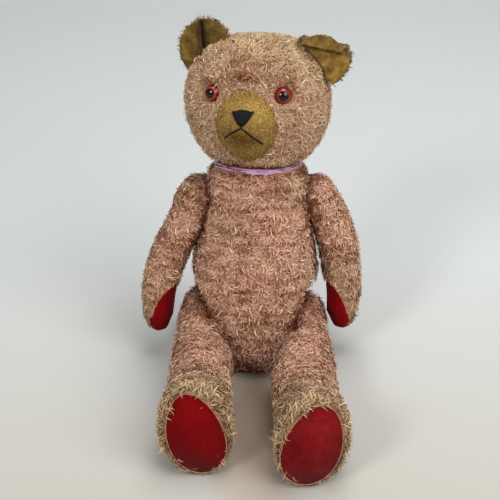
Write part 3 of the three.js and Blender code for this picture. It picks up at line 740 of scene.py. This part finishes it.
sewing = mottled("dark_thread", (700,), (0.3, rgb(26, 16, 16)), (0.7, rgb(52, 34, 32)), Roughness=0.7)
thread_route = [(trunk_out * x - trunk_front * y + head_up * z) / 1000 for x, y, z in THREAD_ROUTE]
curve = bpy.data.curves.new("loose_sewing_thread", "CURVE")
curve.dimensions = "3D"
curve.bevel_depth = THREAD_RADIUS
curve.bevel_resolution = 2
curve.use_fill_caps = True
line = curve.splines.new("BEZIER")
line.bezier_points.add(len(thread_route) - 1)
for point, place in zip(line.bezier_points, thread_route):
    point.co = place
    point.handle_left_type = point.handle_right_type = "AUTO"
curve.materials.append(sewing)
loose = put("loose_sewing_thread", curve)
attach(loose, "torso")
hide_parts("loose_thread")

# Inside: wood wool packed hard, hardboard discs, steel washers and split pins that have begun to rust, a
# wire loop behind each eye, and a board behind each sole.
wool, wool_tree, wool_shader = painted("wood_wool", Roughness=0.9)
shavings = node(wool_tree, "ShaderNodeTexWave", Scale=60, Distortion=14, Detail=3)
where = node(wool_tree, "ShaderNodeTexCoord")
join(wool_tree, where.outputs["Object"], shavings.inputs["Vector"])
join(wool_tree, ramp(wool_tree, shavings.outputs["Fac"], (0.2, rgb(150, 116, 66)), (0.8, rgb(222, 194, 138))),
     wool_shader.inputs["Base Color"])
roughened(wool_tree, wool_shader, shavings.outputs["Fac"], 0.001)

board = mottled("hardboard", (320, 5), (0.3, rgb(84, 56, 32)), (0.7, rgb(124, 90, 56)),
                relief=(0.0002, 900, 2), Roughness=0.75)
insole = mottled("insole_board", (200, 5), (0.3, rgb(140, 112, 74)), (0.7, rgb(176, 148, 106)),
                 Roughness=0.88)

steel, steel_tree, steel_shader = painted("joint_steel", Metallic=0.85)
rust = patches(steel_tree, 150, 4)
for label, bright, rusty in (
    ("Base Color", rgb(150, 148, 144), rgb(108, 78, 56)),
    ("Roughness", (0.3, 0.3, 0.3), (0.8, 0.8, 0.8)),
):
    join(steel_tree, ramp(steel_tree, rust, (0.45, bright), (0.75, rusty)), steel_shader.inputs[label])

INSIDE = {"stuffing": wool, "disc": board, "insole": insole, "washer": steel, "pin": steel, "loop": steel}
for name, piece in frame["nodes"].items():
    for word, material in INSIDE.items():
        if word in name:
            piece.data.materials.clear()
            piece.data.materials.append(material)

# Mohair pile: locks of long curly hair, woven into the backing. It is worn thin in rows across the
# front, matted on the limbs, and dirty at the paws, the feet and the crown. Its worn rows, the valleys
# between its ridges and the bottom of the torso are painted darker for shade, and the locks on top are
# painted paler for a highlight.
PILE_LENGTH = 0.0098
LOCKS_ON_AREA = 525000
LOCK_WIDTH = 0.00098
LOCK_UNEVEN = 0.65, 0.70
LOCK_ROOT = 0.0006
LOCK_SHAPE = (0.7, 1.0, 0.85, 0.0)
LOCK_FACES = ((0, 1, 3, 2), (2, 3, 5, 4), (4, 5, 6))
LOCK_ALONG = (0, 0, 1 / 3, 1 / 3, 2 / 3, 2 / 3, 1)
LOCK_CELL = ((0.2, 0.1), (0.8, 0.1), (0.2, 0.37), (0.8, 0.37), (0.2, 0.63), (0.8, 0.63), (0.5, 0.9))
FLOOR_GAP = 0.0002
RAY_START = 0.0002

# How far single locks stray from their neighbours in heading, rise, curl and roll, in radians, and how
# many times the heading and the curl of neighbours change in a metre.
STRAY_HEADING = 0.42
STRAY_RISE = 0.22
STRAY_CURL = 0.9
STRAY_ROLL = 0.35
SHARED_CURL = 3.6
HEADING_CLOUDS = 48
CURL_CLOUDS = 110
LEAST_RISE, MOST_RISE = 0.1, 1.3
CURL_TO_TIP = 1.5
ROOT_RISE, RISE_TO_TIP = 1.3, 1.5


def unit(vectors):
    """The same ways with a length of one."""
    return vectors / np.maximum(np.linalg.norm(vectors, axis=1, keepdims=True), 1e-9)


def corners_of(mesh):
    """A mesh's vertices and their normals as arrays."""
    places = np.zeros(len(mesh.vertices) * 3, np.float32)
    normals = np.zeros(len(mesh.vertices) * 3, np.float32)
    mesh.vertices.foreach_get("co", places)
    mesh.vertices.foreach_get("normal", normals)
    return places.reshape(-1, 3).astype(float), normals.reshape(-1, 3).astype(float)


def clouds(places, scale, seed=0.0):
    """Smooth noise from 0 to 1 at each place."""
    shift = Vector((seed, seed * 1.7, -seed))
    return np.array([noise.noise(Vector(p) * scale + shift) for p in places]) * 0.5 + 0.5


def ramp_up(values, start, end):
    """0 before start, 1 after end, and even between."""
    return np.clip((values - start) / (end - start), 0, 1)


def spread_over(mesh, density, chance):
    """Places spread over a mesh's faces, with the cloth's normal at each."""
    mesh.calc_loop_triangles()
    corner = np.zeros(len(mesh.loop_triangles) * 3, np.int32)
    mesh.loop_triangles.foreach_get("vertices", corner)
    corner = corner.reshape(-1, 3)
    places, normals = corners_of(mesh)
    a, b, c = (places[corner[:, k]] for k in range(3))
    area = np.linalg.norm(np.cross(b - a, c - a), axis=1) / 2
    number = int(area.sum() * density)
    which = chance.choice(len(area), number, p=area / area.sum())
    u, v = chance.random((2, number, 1))
    u, v = np.where(u + v > 1, 1 - u, u), np.where(u + v > 1, 1 - v, v)
    place = a[which] + u * (b - a)[which] + v * (c - a)[which]
    na, nb, nc = (normals[corner[which, k]] for k in range(3))
    return place, unit(na * (1 - u - v) + nb * u + nc * v)


def pile(name, body, material, chance, roots, normals, lie, length, shade, dirt,
         width=LOCK_WIDTH, lift=0.7, swirl=2.4, curl=1.0):
    """Curved tapering locks as one piece. lie is the way that the pile is brushed, and swirl how far
    it turns from that. The material reads each lock's shade, its dirt and how far along it a place is."""
    count = len(roots)
    across = unit(np.cross(lie, normals))
    lie = unit(np.cross(normals, across))
    swing = (clouds(roots, HEADING_CLOUDS, 3) - 0.5) * swirl + chance.normal(0, STRAY_HEADING, count)
    heading = lie * np.cos(swing)[:, None] + across * np.sin(swing)[:, None]
    side = unit(np.cross(heading, normals))
    rise = np.clip(lift + chance.normal(0, STRAY_RISE, count), LEAST_RISE, MOST_RISE)[:, None]
    bend = (clouds(roots, CURL_CLOUDS, 8) - 0.5) * SHARED_CURL + chance.normal(0, STRAY_CURL, count)
    bend = (bend * curl)[:, None]
    roll = chance.normal(0, STRAY_ROLL, (count, 1))
    half = (width * (LOCK_UNEVEN[0] + LOCK_UNEVEN[1] * chance.random(count)) / 2)[:, None]
    rows = []
    place = roots - normals * LOCK_ROOT
    last = len(LOCK_SHAPE) - 1
    for k, shape in enumerate(LOCK_SHAPE):
        turn = bend * k / last * CURL_TO_TIP
        droop = rise * (ROOT_RISE - RISE_TO_TIP * k / last)
        way = unit((heading * np.cos(turn) + side * np.sin(turn)) * np.cos(droop) + normals * np.sin(droop))
        if k:
            place = place + way * (length[:, None] / last)
        flat = (unit(np.cross(way, normals)) * np.cos(roll) + normals * np.sin(roll)) * half * shape
        rows += [place] if k == last else [place - flat, place + flat]
    corners = np.stack(rows, axis=1)
    corners[:, :, 2] = np.maximum(corners[:, :, 2], FLOOR_GAP)
    per = corners.shape[1]
    order = np.array([k for face in LOCK_FACES for k in face])
    starts = np.arange(count)[:, None] * per
    mesh = bpy.data.meshes.new(name)
    mesh.vertices.add(count * per)
    mesh.vertices.foreach_set("co", corners.reshape(-1).astype(np.float32))
    mesh.loops.add(count * len(order))
    mesh.loops.foreach_set("vertex_index", (starts + order).reshape(-1).astype(np.int32))
    mesh.polygons.add(count * len(LOCK_FACES))
    sides = np.tile([len(face) for face in LOCK_FACES], count)
    mesh.polygons.foreach_set("loop_start", (np.cumsum(sides) - sides).astype(np.int32))
    mesh.polygons.foreach_set("use_smooth", [True] * len(sides))
    mesh.update()
    weight(mesh, "shade", np.repeat(shade, per))
    weight(mesh, "dirt", np.repeat(dirt, per))
    weight(mesh, "along", np.tile(LOCK_ALONG, count))
    columns = math.ceil(math.sqrt(count))
    cell = np.stack(np.divmod(np.arange(count), columns), axis=1)[:, None]
    spots = (cell + np.array(LOCK_CELL)[order]) / columns
    mesh.uv_layers.new(name="OFBake").data.foreach_set("uv", spots.reshape(-1).astype(np.float32))
    mesh.materials.append(material)
    made = put(name, mesh)
    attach(made, body)


def hair_material(name, shades, dirty, root):
    """Hair from its dark shade to its palest, darker at the root and soiled where it is dirty."""
    material, tree, shader = painted(name, Roughness=0.8, Specular_IOR_Level=0.15, Sheen_Weight=0.08,
                                     Sheen_Roughness=0.5)
    shade, along, dirt = (node(tree, "ShaderNodeAttribute", attribute_name=label).outputs["Fac"]
                          for label in ("shade", "along", "dirt"))
    hair = ramp(tree, shade, *zip((0.0, 0.35, 0.72, 1.0), shades))
    soiled = blend_colours(tree, dirt, hair, blend_colours(tree, 1.0, hair, dirty, "MULTIPLY"))
    lifted = ramp(tree, along, (0.0, root), (0.5, (1.0, 1.0, 1.0)))
    join(tree, blend_colours(tree, 1.0, soiled, lifted, "MULTIPLY"), shader.inputs["Base Color"])
    return material


MOHAIR_SHADES = rgb(120, 60, 32), rgb(192, 146, 120), rgb(214, 172, 146), rgb(240, 206, 180)
MOHAIR_DIRTY = (0.82, 0.99, 0.82)
MOHAIR_ROOT = (0.62, 0.46, 0.36)
mohair = hair_material("mohair", MOHAIR_SHADES, MOHAIR_DIRTY, MOHAIR_ROOT)

# Where the pile gives way: it is cut short where a lock would meet the next part of the bear, and where
# it would cover the ribbon or the loose thread. It is clipped along the felt, and stands up where it faces
# another part across a gap.
ROOM_REACH = 0.022
ROOM_OVER = 1.3
GAP_CLOSED, GAP_SHORTER = 0.004, 0.4
FACING_GAP = 0.002
FACING_ROOM = 0.020
FACING_LIFT = 1.25
FACING_LONGER = 1.3
SHADOW_FROM, SHADOW_TO = 0.016, 0.002
SHADOW_DEPTH = 0.65
NEAR_REACH = 0.02
RIBBON_TOUCHING = 0.0006
RIBBON_ROOM = {"head": 0.95, "torso": 4.0}
RIBBON_LEAST = 0.0036
THREAD_ROOM = 0.8
THREAD_LEAST = 0.0030
SOLE_CLEAR = 0.0010
PAD_CLEAR = 0.0022
PAD_ROOM = 1.1
PAD_LEAST = 0.0012
BESIDE_SOLE = 0.45

trees = {body: tree_of(cover) for body, cover in covers.items()}
felt_trees = {piece: tree_of(bpy.data.objects[piece]) for piece in (
    "left_felt_sole", "right_felt_sole", "left_felt_pad", "right_felt_pad")}
ribbon_tree = tree_of(ribbon)
thread_places = np.array(thread_route)
thread_places = np.concatenate([thread_places[:-1] + (thread_places[1:] - thread_places[:-1]) * t
                                for t in (0, 0.33, 0.67)])


def nearest(tree, places):
    """How far each place is from a piece, or 1 where it is out of reach."""
    return np.array([tree.find_nearest(Vector(p), NEAR_REACH)[3] or 1.0 for p in places])


def room_above(body, places, normals):
    """How far a lock may stand before it meets the next part of the bear, and how far off that part is."""
    room = np.full(len(places), ROOM_REACH)
    gap = np.full(len(places), ROOM_REACH)
    for tree in (tree for other, tree in trees.items() if other != body):
        for i, (place, normal) in enumerate(zip(places, normals)):
            near = tree.find_nearest(Vector(place), ROOM_REACH)[3]
            if near is None:
                continue
            gap[i] = min(gap[i], near)
            hit = tree.ray_cast(Vector(place + normal * RAY_START), Vector(normal), ROOM_REACH)
            if hit[3] is not None:
                room[i] = min(room[i], hit[3])
    return room, gap


def keep_off(body, places, length):
    """The lengths of the locks, cut short where they would cover the ribbon or the loose thread."""
    ribbon_near = nearest(ribbon_tree, places)
    thread_near = np.linalg.norm(places[:, None] - thread_places[None], axis=2).min(1)
    ribbon_room = np.maximum(ribbon_near * RIBBON_ROOM[body], RIBBON_LEAST)
    ribbon_room[ribbon_near < RIBBON_TOUCHING] = 0
    thread_room = np.maximum(thread_near * THREAD_ROOM, THREAD_LEAST)
    return np.minimum(length, np.minimum(ribbon_room, thread_room))


def clipped_at_felt(body, roots, normals, length, lie):
    """The locks' lengths and the way they lie, clear of the felt of the same limb."""
    side, limb = body.split("_")
    if limb == "leg":
        centre, out = sole_planes[side]
        length[nearest(felt_trees[f"{side}_felt_sole"], roots) < SOLE_CLEAR] = 0
        beside = (normals @ np.array(out) > BESIDE_SOLE)[:, None]
        return length, np.where(beside, unit(roots - np.array(centre)), lie)
    near = nearest(felt_trees[f"{side}_felt_pad"], roots)
    length[near < PAD_CLEAR] = 0
    return np.minimum(length, near * PAD_ROOM + PAD_LEAST), lie


# How each part's pile lies, curls and is coloured: the way that it is brushed, its curl, its middle shade
# and how mixed it is, how much paler the locks on top are painted as a highlight, and how deep the valleys
# between its ridges are, in length and in painted shade.
PLAIN_COAT = {"even": 0.45, "mixed": 0.52, "painted_highlight": 0.12, "valleys": 1.0}
HEAD_COAT = {"even": 0.49, "mixed": 0.30, "painted_highlight": 0.02, "valleys": 0.4}
COATS = {
    "torso": {"lie": (0.0, 0.0, -1.0), "curl": 1.25, **PLAIN_COAT},
    "head": {"lie": (0.0, 0.0, -0.35), "curl": 1.0, **HEAD_COAT},
    "arm": {"lie": (0.0, -0.3, -1.0), "curl": 1.0, **PLAIN_COAT},
    "leg": {"lie": (0.0, -1.0, -0.15), "curl": 0.8, **PLAIN_COAT},
}
PLAIN_LIFT = 0.72
LEAST_LENGTH, CLOUDY_LENGTH, MIXED_LENGTH = 0.6, 0.55, 0.12
CLOUDY_SHADE = 0.5
PALE_LOCKS = 0.04
PLAIN_DIRT = 0.5
PLAIN_DIRT_BAND = (0.5, 0.8)
LENGTH_CLOUDS, SHADE_CLOUDS, DIRT_CLOUDS, RIDGE_CLOUDS, VALLEY_CLOUDS = 35, 75, 20, 24, 40
OVERLAID = 0.16
OVERLAID_LIFT = 1.15
OVERLAID_LONGER = 1.2
ROW_FINE, ROW_COARSE = 130, 24
WORN_BAND = (0.54, 0.68)
WORN_DARK_AND_SHADE, WORN_SHORT = 0.22, 0.25
RIDGE_PITCH = 0.0105
RIDGE_WANDER = 0.016
RIDGE_LEAN_ARM, RIDGE_LEAN_LEG = 0.5, 0.3
VALLEY_BAND = (0.1, 1.0)
VALLEY_PATCHES = (0.3, 0.6)
VALLEY_PAINTED_SHADE, VALLEY_SHORT = 0.48, 0.4
LOW_TORSO_PAINTED_SHADE = 0.14
LOW_TORSO_FROM, LOW_TORSO_TO = 0.12, 0.03
LIMB_END_DIRT = 0.95
LIMB_END = 0.01
PAW_LONG, FOOT_LONG = 0.10, 0.11
FOOT_LONGER = 0.3
LEAST_LOCK = 0.0022
LEAST_UP = 0.0012

SEAM_CLEAR = 0.985
SEAM_SHORT_TO, SEAM_SHORTER = 1.25, 0.7
SEAM_STEEP_TO, SEAM_LIFT = 1.2, 1.25
HEAD_LIFT = 0.25
HEAD_LONGER = 1.12
HEAD_WORN = 0.35
EYE_CLEAR = 0.0104
EYE_SHORT_TO, EYE_SHORTER = 0.016, 0.6
EYE_SHADOW_FROM, EYE_SHADOW_DARK = 0.009, 0.45
BROW_UP = 0.098
BROW_ACROSS, BROW_TALL = 0.030, 0.012
BROW_DARK = 0.34
CROWN_DARK, CROWN_DARK_BAND = 0.06, (0.10, 0.14)
CROWN_SHORT, CROWN_SHORT_BAND = 0.3, (0.105, 0.135)
HEAD_DIRT = 0.4
CROWN_DIRT, CROWN_DIRT_BAND = 0.6, (0.08, 0.135)


def face_pile(roots, length, shade, dirt, lift):
    """The head's pile, in place: clear of the muzzle and the eyes and shorter beside them, steeper beside the
    muzzle, dark at the brow and round the eyes, and short and dirty on the crown."""
    own = on_head(roots)
    far = inlet(own)
    length[far < SEAM_CLEAR] = 0
    length *= np.where(far < SEAM_SHORT_TO, SEAM_SHORTER, 1.0)
    lift[:] = np.where(far < SEAM_STEEP_TO, SEAM_LIFT, lift + HEAD_LIFT)
    length *= HEAD_LONGER
    for eye in eye_middles:
        near = np.linalg.norm(roots - np.array(eye), axis=1)
        length[near < EYE_CLEAR] = 0
        length *= np.where(near < EYE_SHORT_TO, EYE_SHORTER, 1.0)
        shade -= EYE_SHADOW_DARK * (1 - ramp_up(near, EYE_SHADOW_FROM, EYE_SHORT_TO)) * (roots[:, 2] > eye.z)
    brow = np.exp(-(own[:, 0] / BROW_ACROSS) ** 2 - ((own[:, 2] - BROW_UP) / BROW_TALL) ** 2)
    shade -= BROW_DARK * brow * (own[:, 1] < 0) + CROWN_DARK * ramp_up(own[:, 2], *CROWN_DARK_BAND)
    length *= 1 - CROWN_SHORT * ramp_up(own[:, 2], *CROWN_SHORT_BAND)
    dirt += HEAD_DIRT + ramp_up(own[:, 2], *CROWN_DIRT_BAND) * CROWN_DIRT


for index, (body, cover) in enumerate(covers.items()):
    coat = COATS[body.split("_")[-1]]
    chance = np.random.default_rng(100 + index)
    density = LOCKS_ON_AREA / 1
    roots, normals = spread_over(cover.data, density, chance)
    count = len(roots)
    low, high = (Vector(v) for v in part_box(f"{body}_cover"))
    length = LEAST_LENGTH + CLOUDY_LENGTH * clouds(roots, LENGTH_CLOUDS, index)
    length = (length + chance.normal(0, MIXED_LENGTH, count)) * PILE_LENGTH
    shade = coat["even"] + coat["mixed"] * (chance.random(count) - 0.5)
    shade += CLOUDY_SHADE * (clouds(roots, SHADE_CLOUDS, index + 2) - 0.5)
    shade[chance.random(count) > 1 - PALE_LOCKS] = 1.0
    dirt = ramp_up(clouds(roots, DIRT_CLOUDS, index + 5), *PLAIN_DIRT_BAND) * PLAIN_DIRT
    grain = (ROW_COARSE, ROW_FINE if body.endswith("leg") else ROW_COARSE, ROW_FINE)
    # Worn rows: shorter, and painted darker for the shade in them.
    worn_and_shaded = ramp_up(clouds(roots * np.array(grain), 1, index + 3), *WORN_BAND)
    lift = np.full(count, PLAIN_LIFT)
    lie = np.tile(coat["lie"], (count, 1))
    along = roots[:, 2]
    if body == "torso":
        # Painted shade: the torso's pile is darker towards its bottom.
        shade -= LOW_TORSO_PAINTED_SHADE * ramp_up(-roots[:, 2], -LOW_TORSO_FROM, -LOW_TORSO_TO)
    elif body == "head":
        lie = lie + unit(on_head(roots) - muzzle_middle) @ np.array(head_turn).T
        face_pile(roots, length, shade, dirt, lift)
        worn_and_shaded *= HEAD_WORN
    elif body.endswith("arm"):
        along = roots[:, 2] - roots[:, 0] * RIDGE_LEAN_ARM * OUTWARD[body.split("_")[0]]
        dirt += ramp_up(-roots[:, 2], -low.z - PAW_LONG, -low.z - LIMB_END) * LIMB_END_DIRT
    else:
        along = roots[:, 1] - roots[:, 2] * RIDGE_LEAN_LEG
        foot = ramp_up(-roots[:, 1], -low.y - FOOT_LONG, -low.y - LIMB_END)
        dirt += foot * LIMB_END_DIRT
        length *= 1 + FOOT_LONGER * foot

    above = chance.random(count) < OVERLAID
    lift[above] = OVERLAID_LIFT
    length[above] *= OVERLAID_LONGER
    # Painted highlight: the locks on top are paler.
    shade[above] += coat["painted_highlight"]
    along = along + RIDGE_WANDER * clouds(roots, RIDGE_CLOUDS, index + 9)
    ridge = np.sin(2 * math.pi * along / RIDGE_PITCH)
    valley = ramp_up(ridge, *VALLEY_BAND) * coat["valleys"]
    valley *= ramp_up(clouds(roots, VALLEY_CLOUDS, index + 11), *VALLEY_PATCHES)
    # Painted shade: the locks are darker in the worn rows and in the valleys between the ridges, and shorter
    # there.
    shade = np.clip(shade - WORN_DARK_AND_SHADE * worn_and_shaded - VALLEY_PAINTED_SHADE * valley, 0, 1)
    length *= (1 - WORN_SHORT * worn_and_shaded) * (1 - VALLEY_SHORT * valley)

    if body.endswith(("leg", "arm")):
        length, lie = clipped_at_felt(body, roots, normals, length, lie)
    room, gap = room_above(body, roots, normals)
    length = np.minimum(length, room * ROOM_OVER)
    length *= 1 - GAP_SHORTER * (1 - ramp_up(gap, 0, GAP_CLOSED))
    facing = (gap > FACING_GAP) & (room < FACING_ROOM)
    lift = np.where(facing, np.maximum(lift, FACING_LIFT), lift)
    length = np.where(facing, np.minimum(length * FACING_LONGER, room * ROOM_OVER), length)
    shade = np.clip(shade - SHADOW_DEPTH * (1 - ramp_up(gap, SHADOW_TO, SHADOW_FROM)), 0, 1)
    if body in RIBBON_ROOM:
        length = keep_off(body, roots, length)
    kept = (length > LEAST_LOCK) & (roots[:, 2] > LEAST_UP)
    front = roots[:, 1] < (low.y + high.y) / 2
    for part, half in (("front", front), ("back", ~front)):
        pick = kept & half
        pile(f"{body}_mohair_{part}", body, mohair, chance, roots[pick], normals[pick], lie[pick],
             length[pick], shade[pick], np.clip(dirt[pick], 0, 1), lift=lift[pick], curl=coat["curl"])

# Ear pile: the backs of the ears and their rims keep a short dirty mohair. It is gone along the creases,
# and shorter beyond the left one.
EAR_PILE = 0.0062
EAR_PILE_LEAST, EAR_PILE_MIXED = 0.6, 0.8
EAR_DARKEST, EAR_MIXED = 0.15, 0.6
EAR_LEAST_DIRT = 0.5
EAR_LOCK_WIDTH = 0.0009
EAR_BEHIND = 0.15
EAR_FOOT_UP = 0.085
EAR_MIDDLE_UP = 0.07
EAR_RIM = 0.9
CREASE_BARE = 0.007
LEFT_BEYOND_SHORTER = 0.45

EAR_SHADES = rgb(92, 62, 28), rgb(142, 108, 66), rgb(172, 138, 98), rgb(206, 174, 138)
EAR_DIRTY = (0.82, 0.96, 0.82)
EAR_ROOT = (0.62, 0.50, 0.38)
ear_hair = hair_material("ear_mohair", EAR_SHADES, EAR_DIRTY, EAR_ROOT)


def brushed_from(own, up):
    """The way out on the head from a point on its middle line, as seen from straight ahead."""
    return unit(own * (1, 0, 1) - (0, 0, up)) @ np.array(head_turn).T


for side in OUTWARD:
    chance = np.random.default_rng(300 + len(side))
    roots, normals = spread_over(ears[side, "back"].data, LOCKS_ON_AREA, chance)
    own = on_head(roots)
    low, high = own.min(0), own.max(0)
    rim = np.linalg.norm((own - (low + high) / 2)[:, [0, 2]] / ((high - low) / 2)[[0, 2]], axis=1)
    past = past_crease(own, side)[0]
    pick = (normals @ np.array(head_ahead) < EAR_BEHIND) & (own[:, 2] > EAR_FOOT_UP)
    pick &= (abs(past) > CREASE_BARE) | (rim > EAR_RIM)
    length = EAR_PILE * (EAR_PILE_LEAST + EAR_PILE_MIXED * chance.random(len(roots)))
    if side == "left":
        length *= np.where(past > 0, LEFT_BEYOND_SHORTER, 1.0)
    shade = EAR_DARKEST + EAR_MIXED * chance.random(len(roots))
    dirt = EAR_LEAST_DIRT + (1 - EAR_LEAST_DIRT) * chance.random(pick.sum())
    pile(f"{side}_ear_mohair", "head", ear_hair, chance, roots[pick], normals[pick],
         brushed_from(own, EAR_MIDDLE_UP)[pick], length[pick], shade[pick], dirt, width=EAR_LOCK_WIDTH)

# Muzzle nap: the shaved muzzle keeps short fine hairs, brushed away from the nose, and none under the
# nose's stitches.
NAP_LENGTH = 0.0032
NAP_LEAST = 0.5
NAP_ON_AREA = 2200000
NAP_WIDTH = 0.00055
NAP_CLOUDS, NAP_CLOUDY = 150, 0.45
NAP_MIDDLE = (0, 0.02, 0.055)
NAP_BRUSHED_UP = 0.058
NOSE_CLEAR = 0.002

NAP_SHADES = rgb(108, 78, 26), rgb(148, 115, 48), rgb(174, 140, 68), rgb(202, 170, 102)
NAP_DIRTY = (0.34, 0.22, 0.06)
NAP_ROOT = (0.66, 0.56, 0.38)
nap_hair = hair_material("muzzle_nap", NAP_SHADES, NAP_DIRTY, NAP_ROOT)
chance = np.random.default_rng(400)
roots, normals = spread_over(snout.data, NAP_ON_AREA, chance)
outer = ((roots - np.array(from_head(*NAP_MIDDLE))) * normals).sum(axis=1) > 0
nose_tree = tree_of(nose)
clear = np.array([nose_tree.find_nearest(Vector(p), NOSE_CLEAR)[3] is None for p in roots])
pick = outer & clear
own = on_head(roots[pick])
length = NAP_LENGTH * (NAP_LEAST + chance.random(pick.sum()))
shade = chance.random(pick.sum()) + NAP_CLOUDY * (clouds(roots[pick], NAP_CLOUDS, 4) - 0.5)
pile("muzzle_nap", "head", nap_hair, chance, roots[pick], normals[pick],
     brushed_from(own, NAP_BRUSHED_UP), length, np.clip(shade, 0, 1), chin_dirt(own), width=NAP_WIDTH,
     lift=0.5, swirl=1.6, curl=0.8)
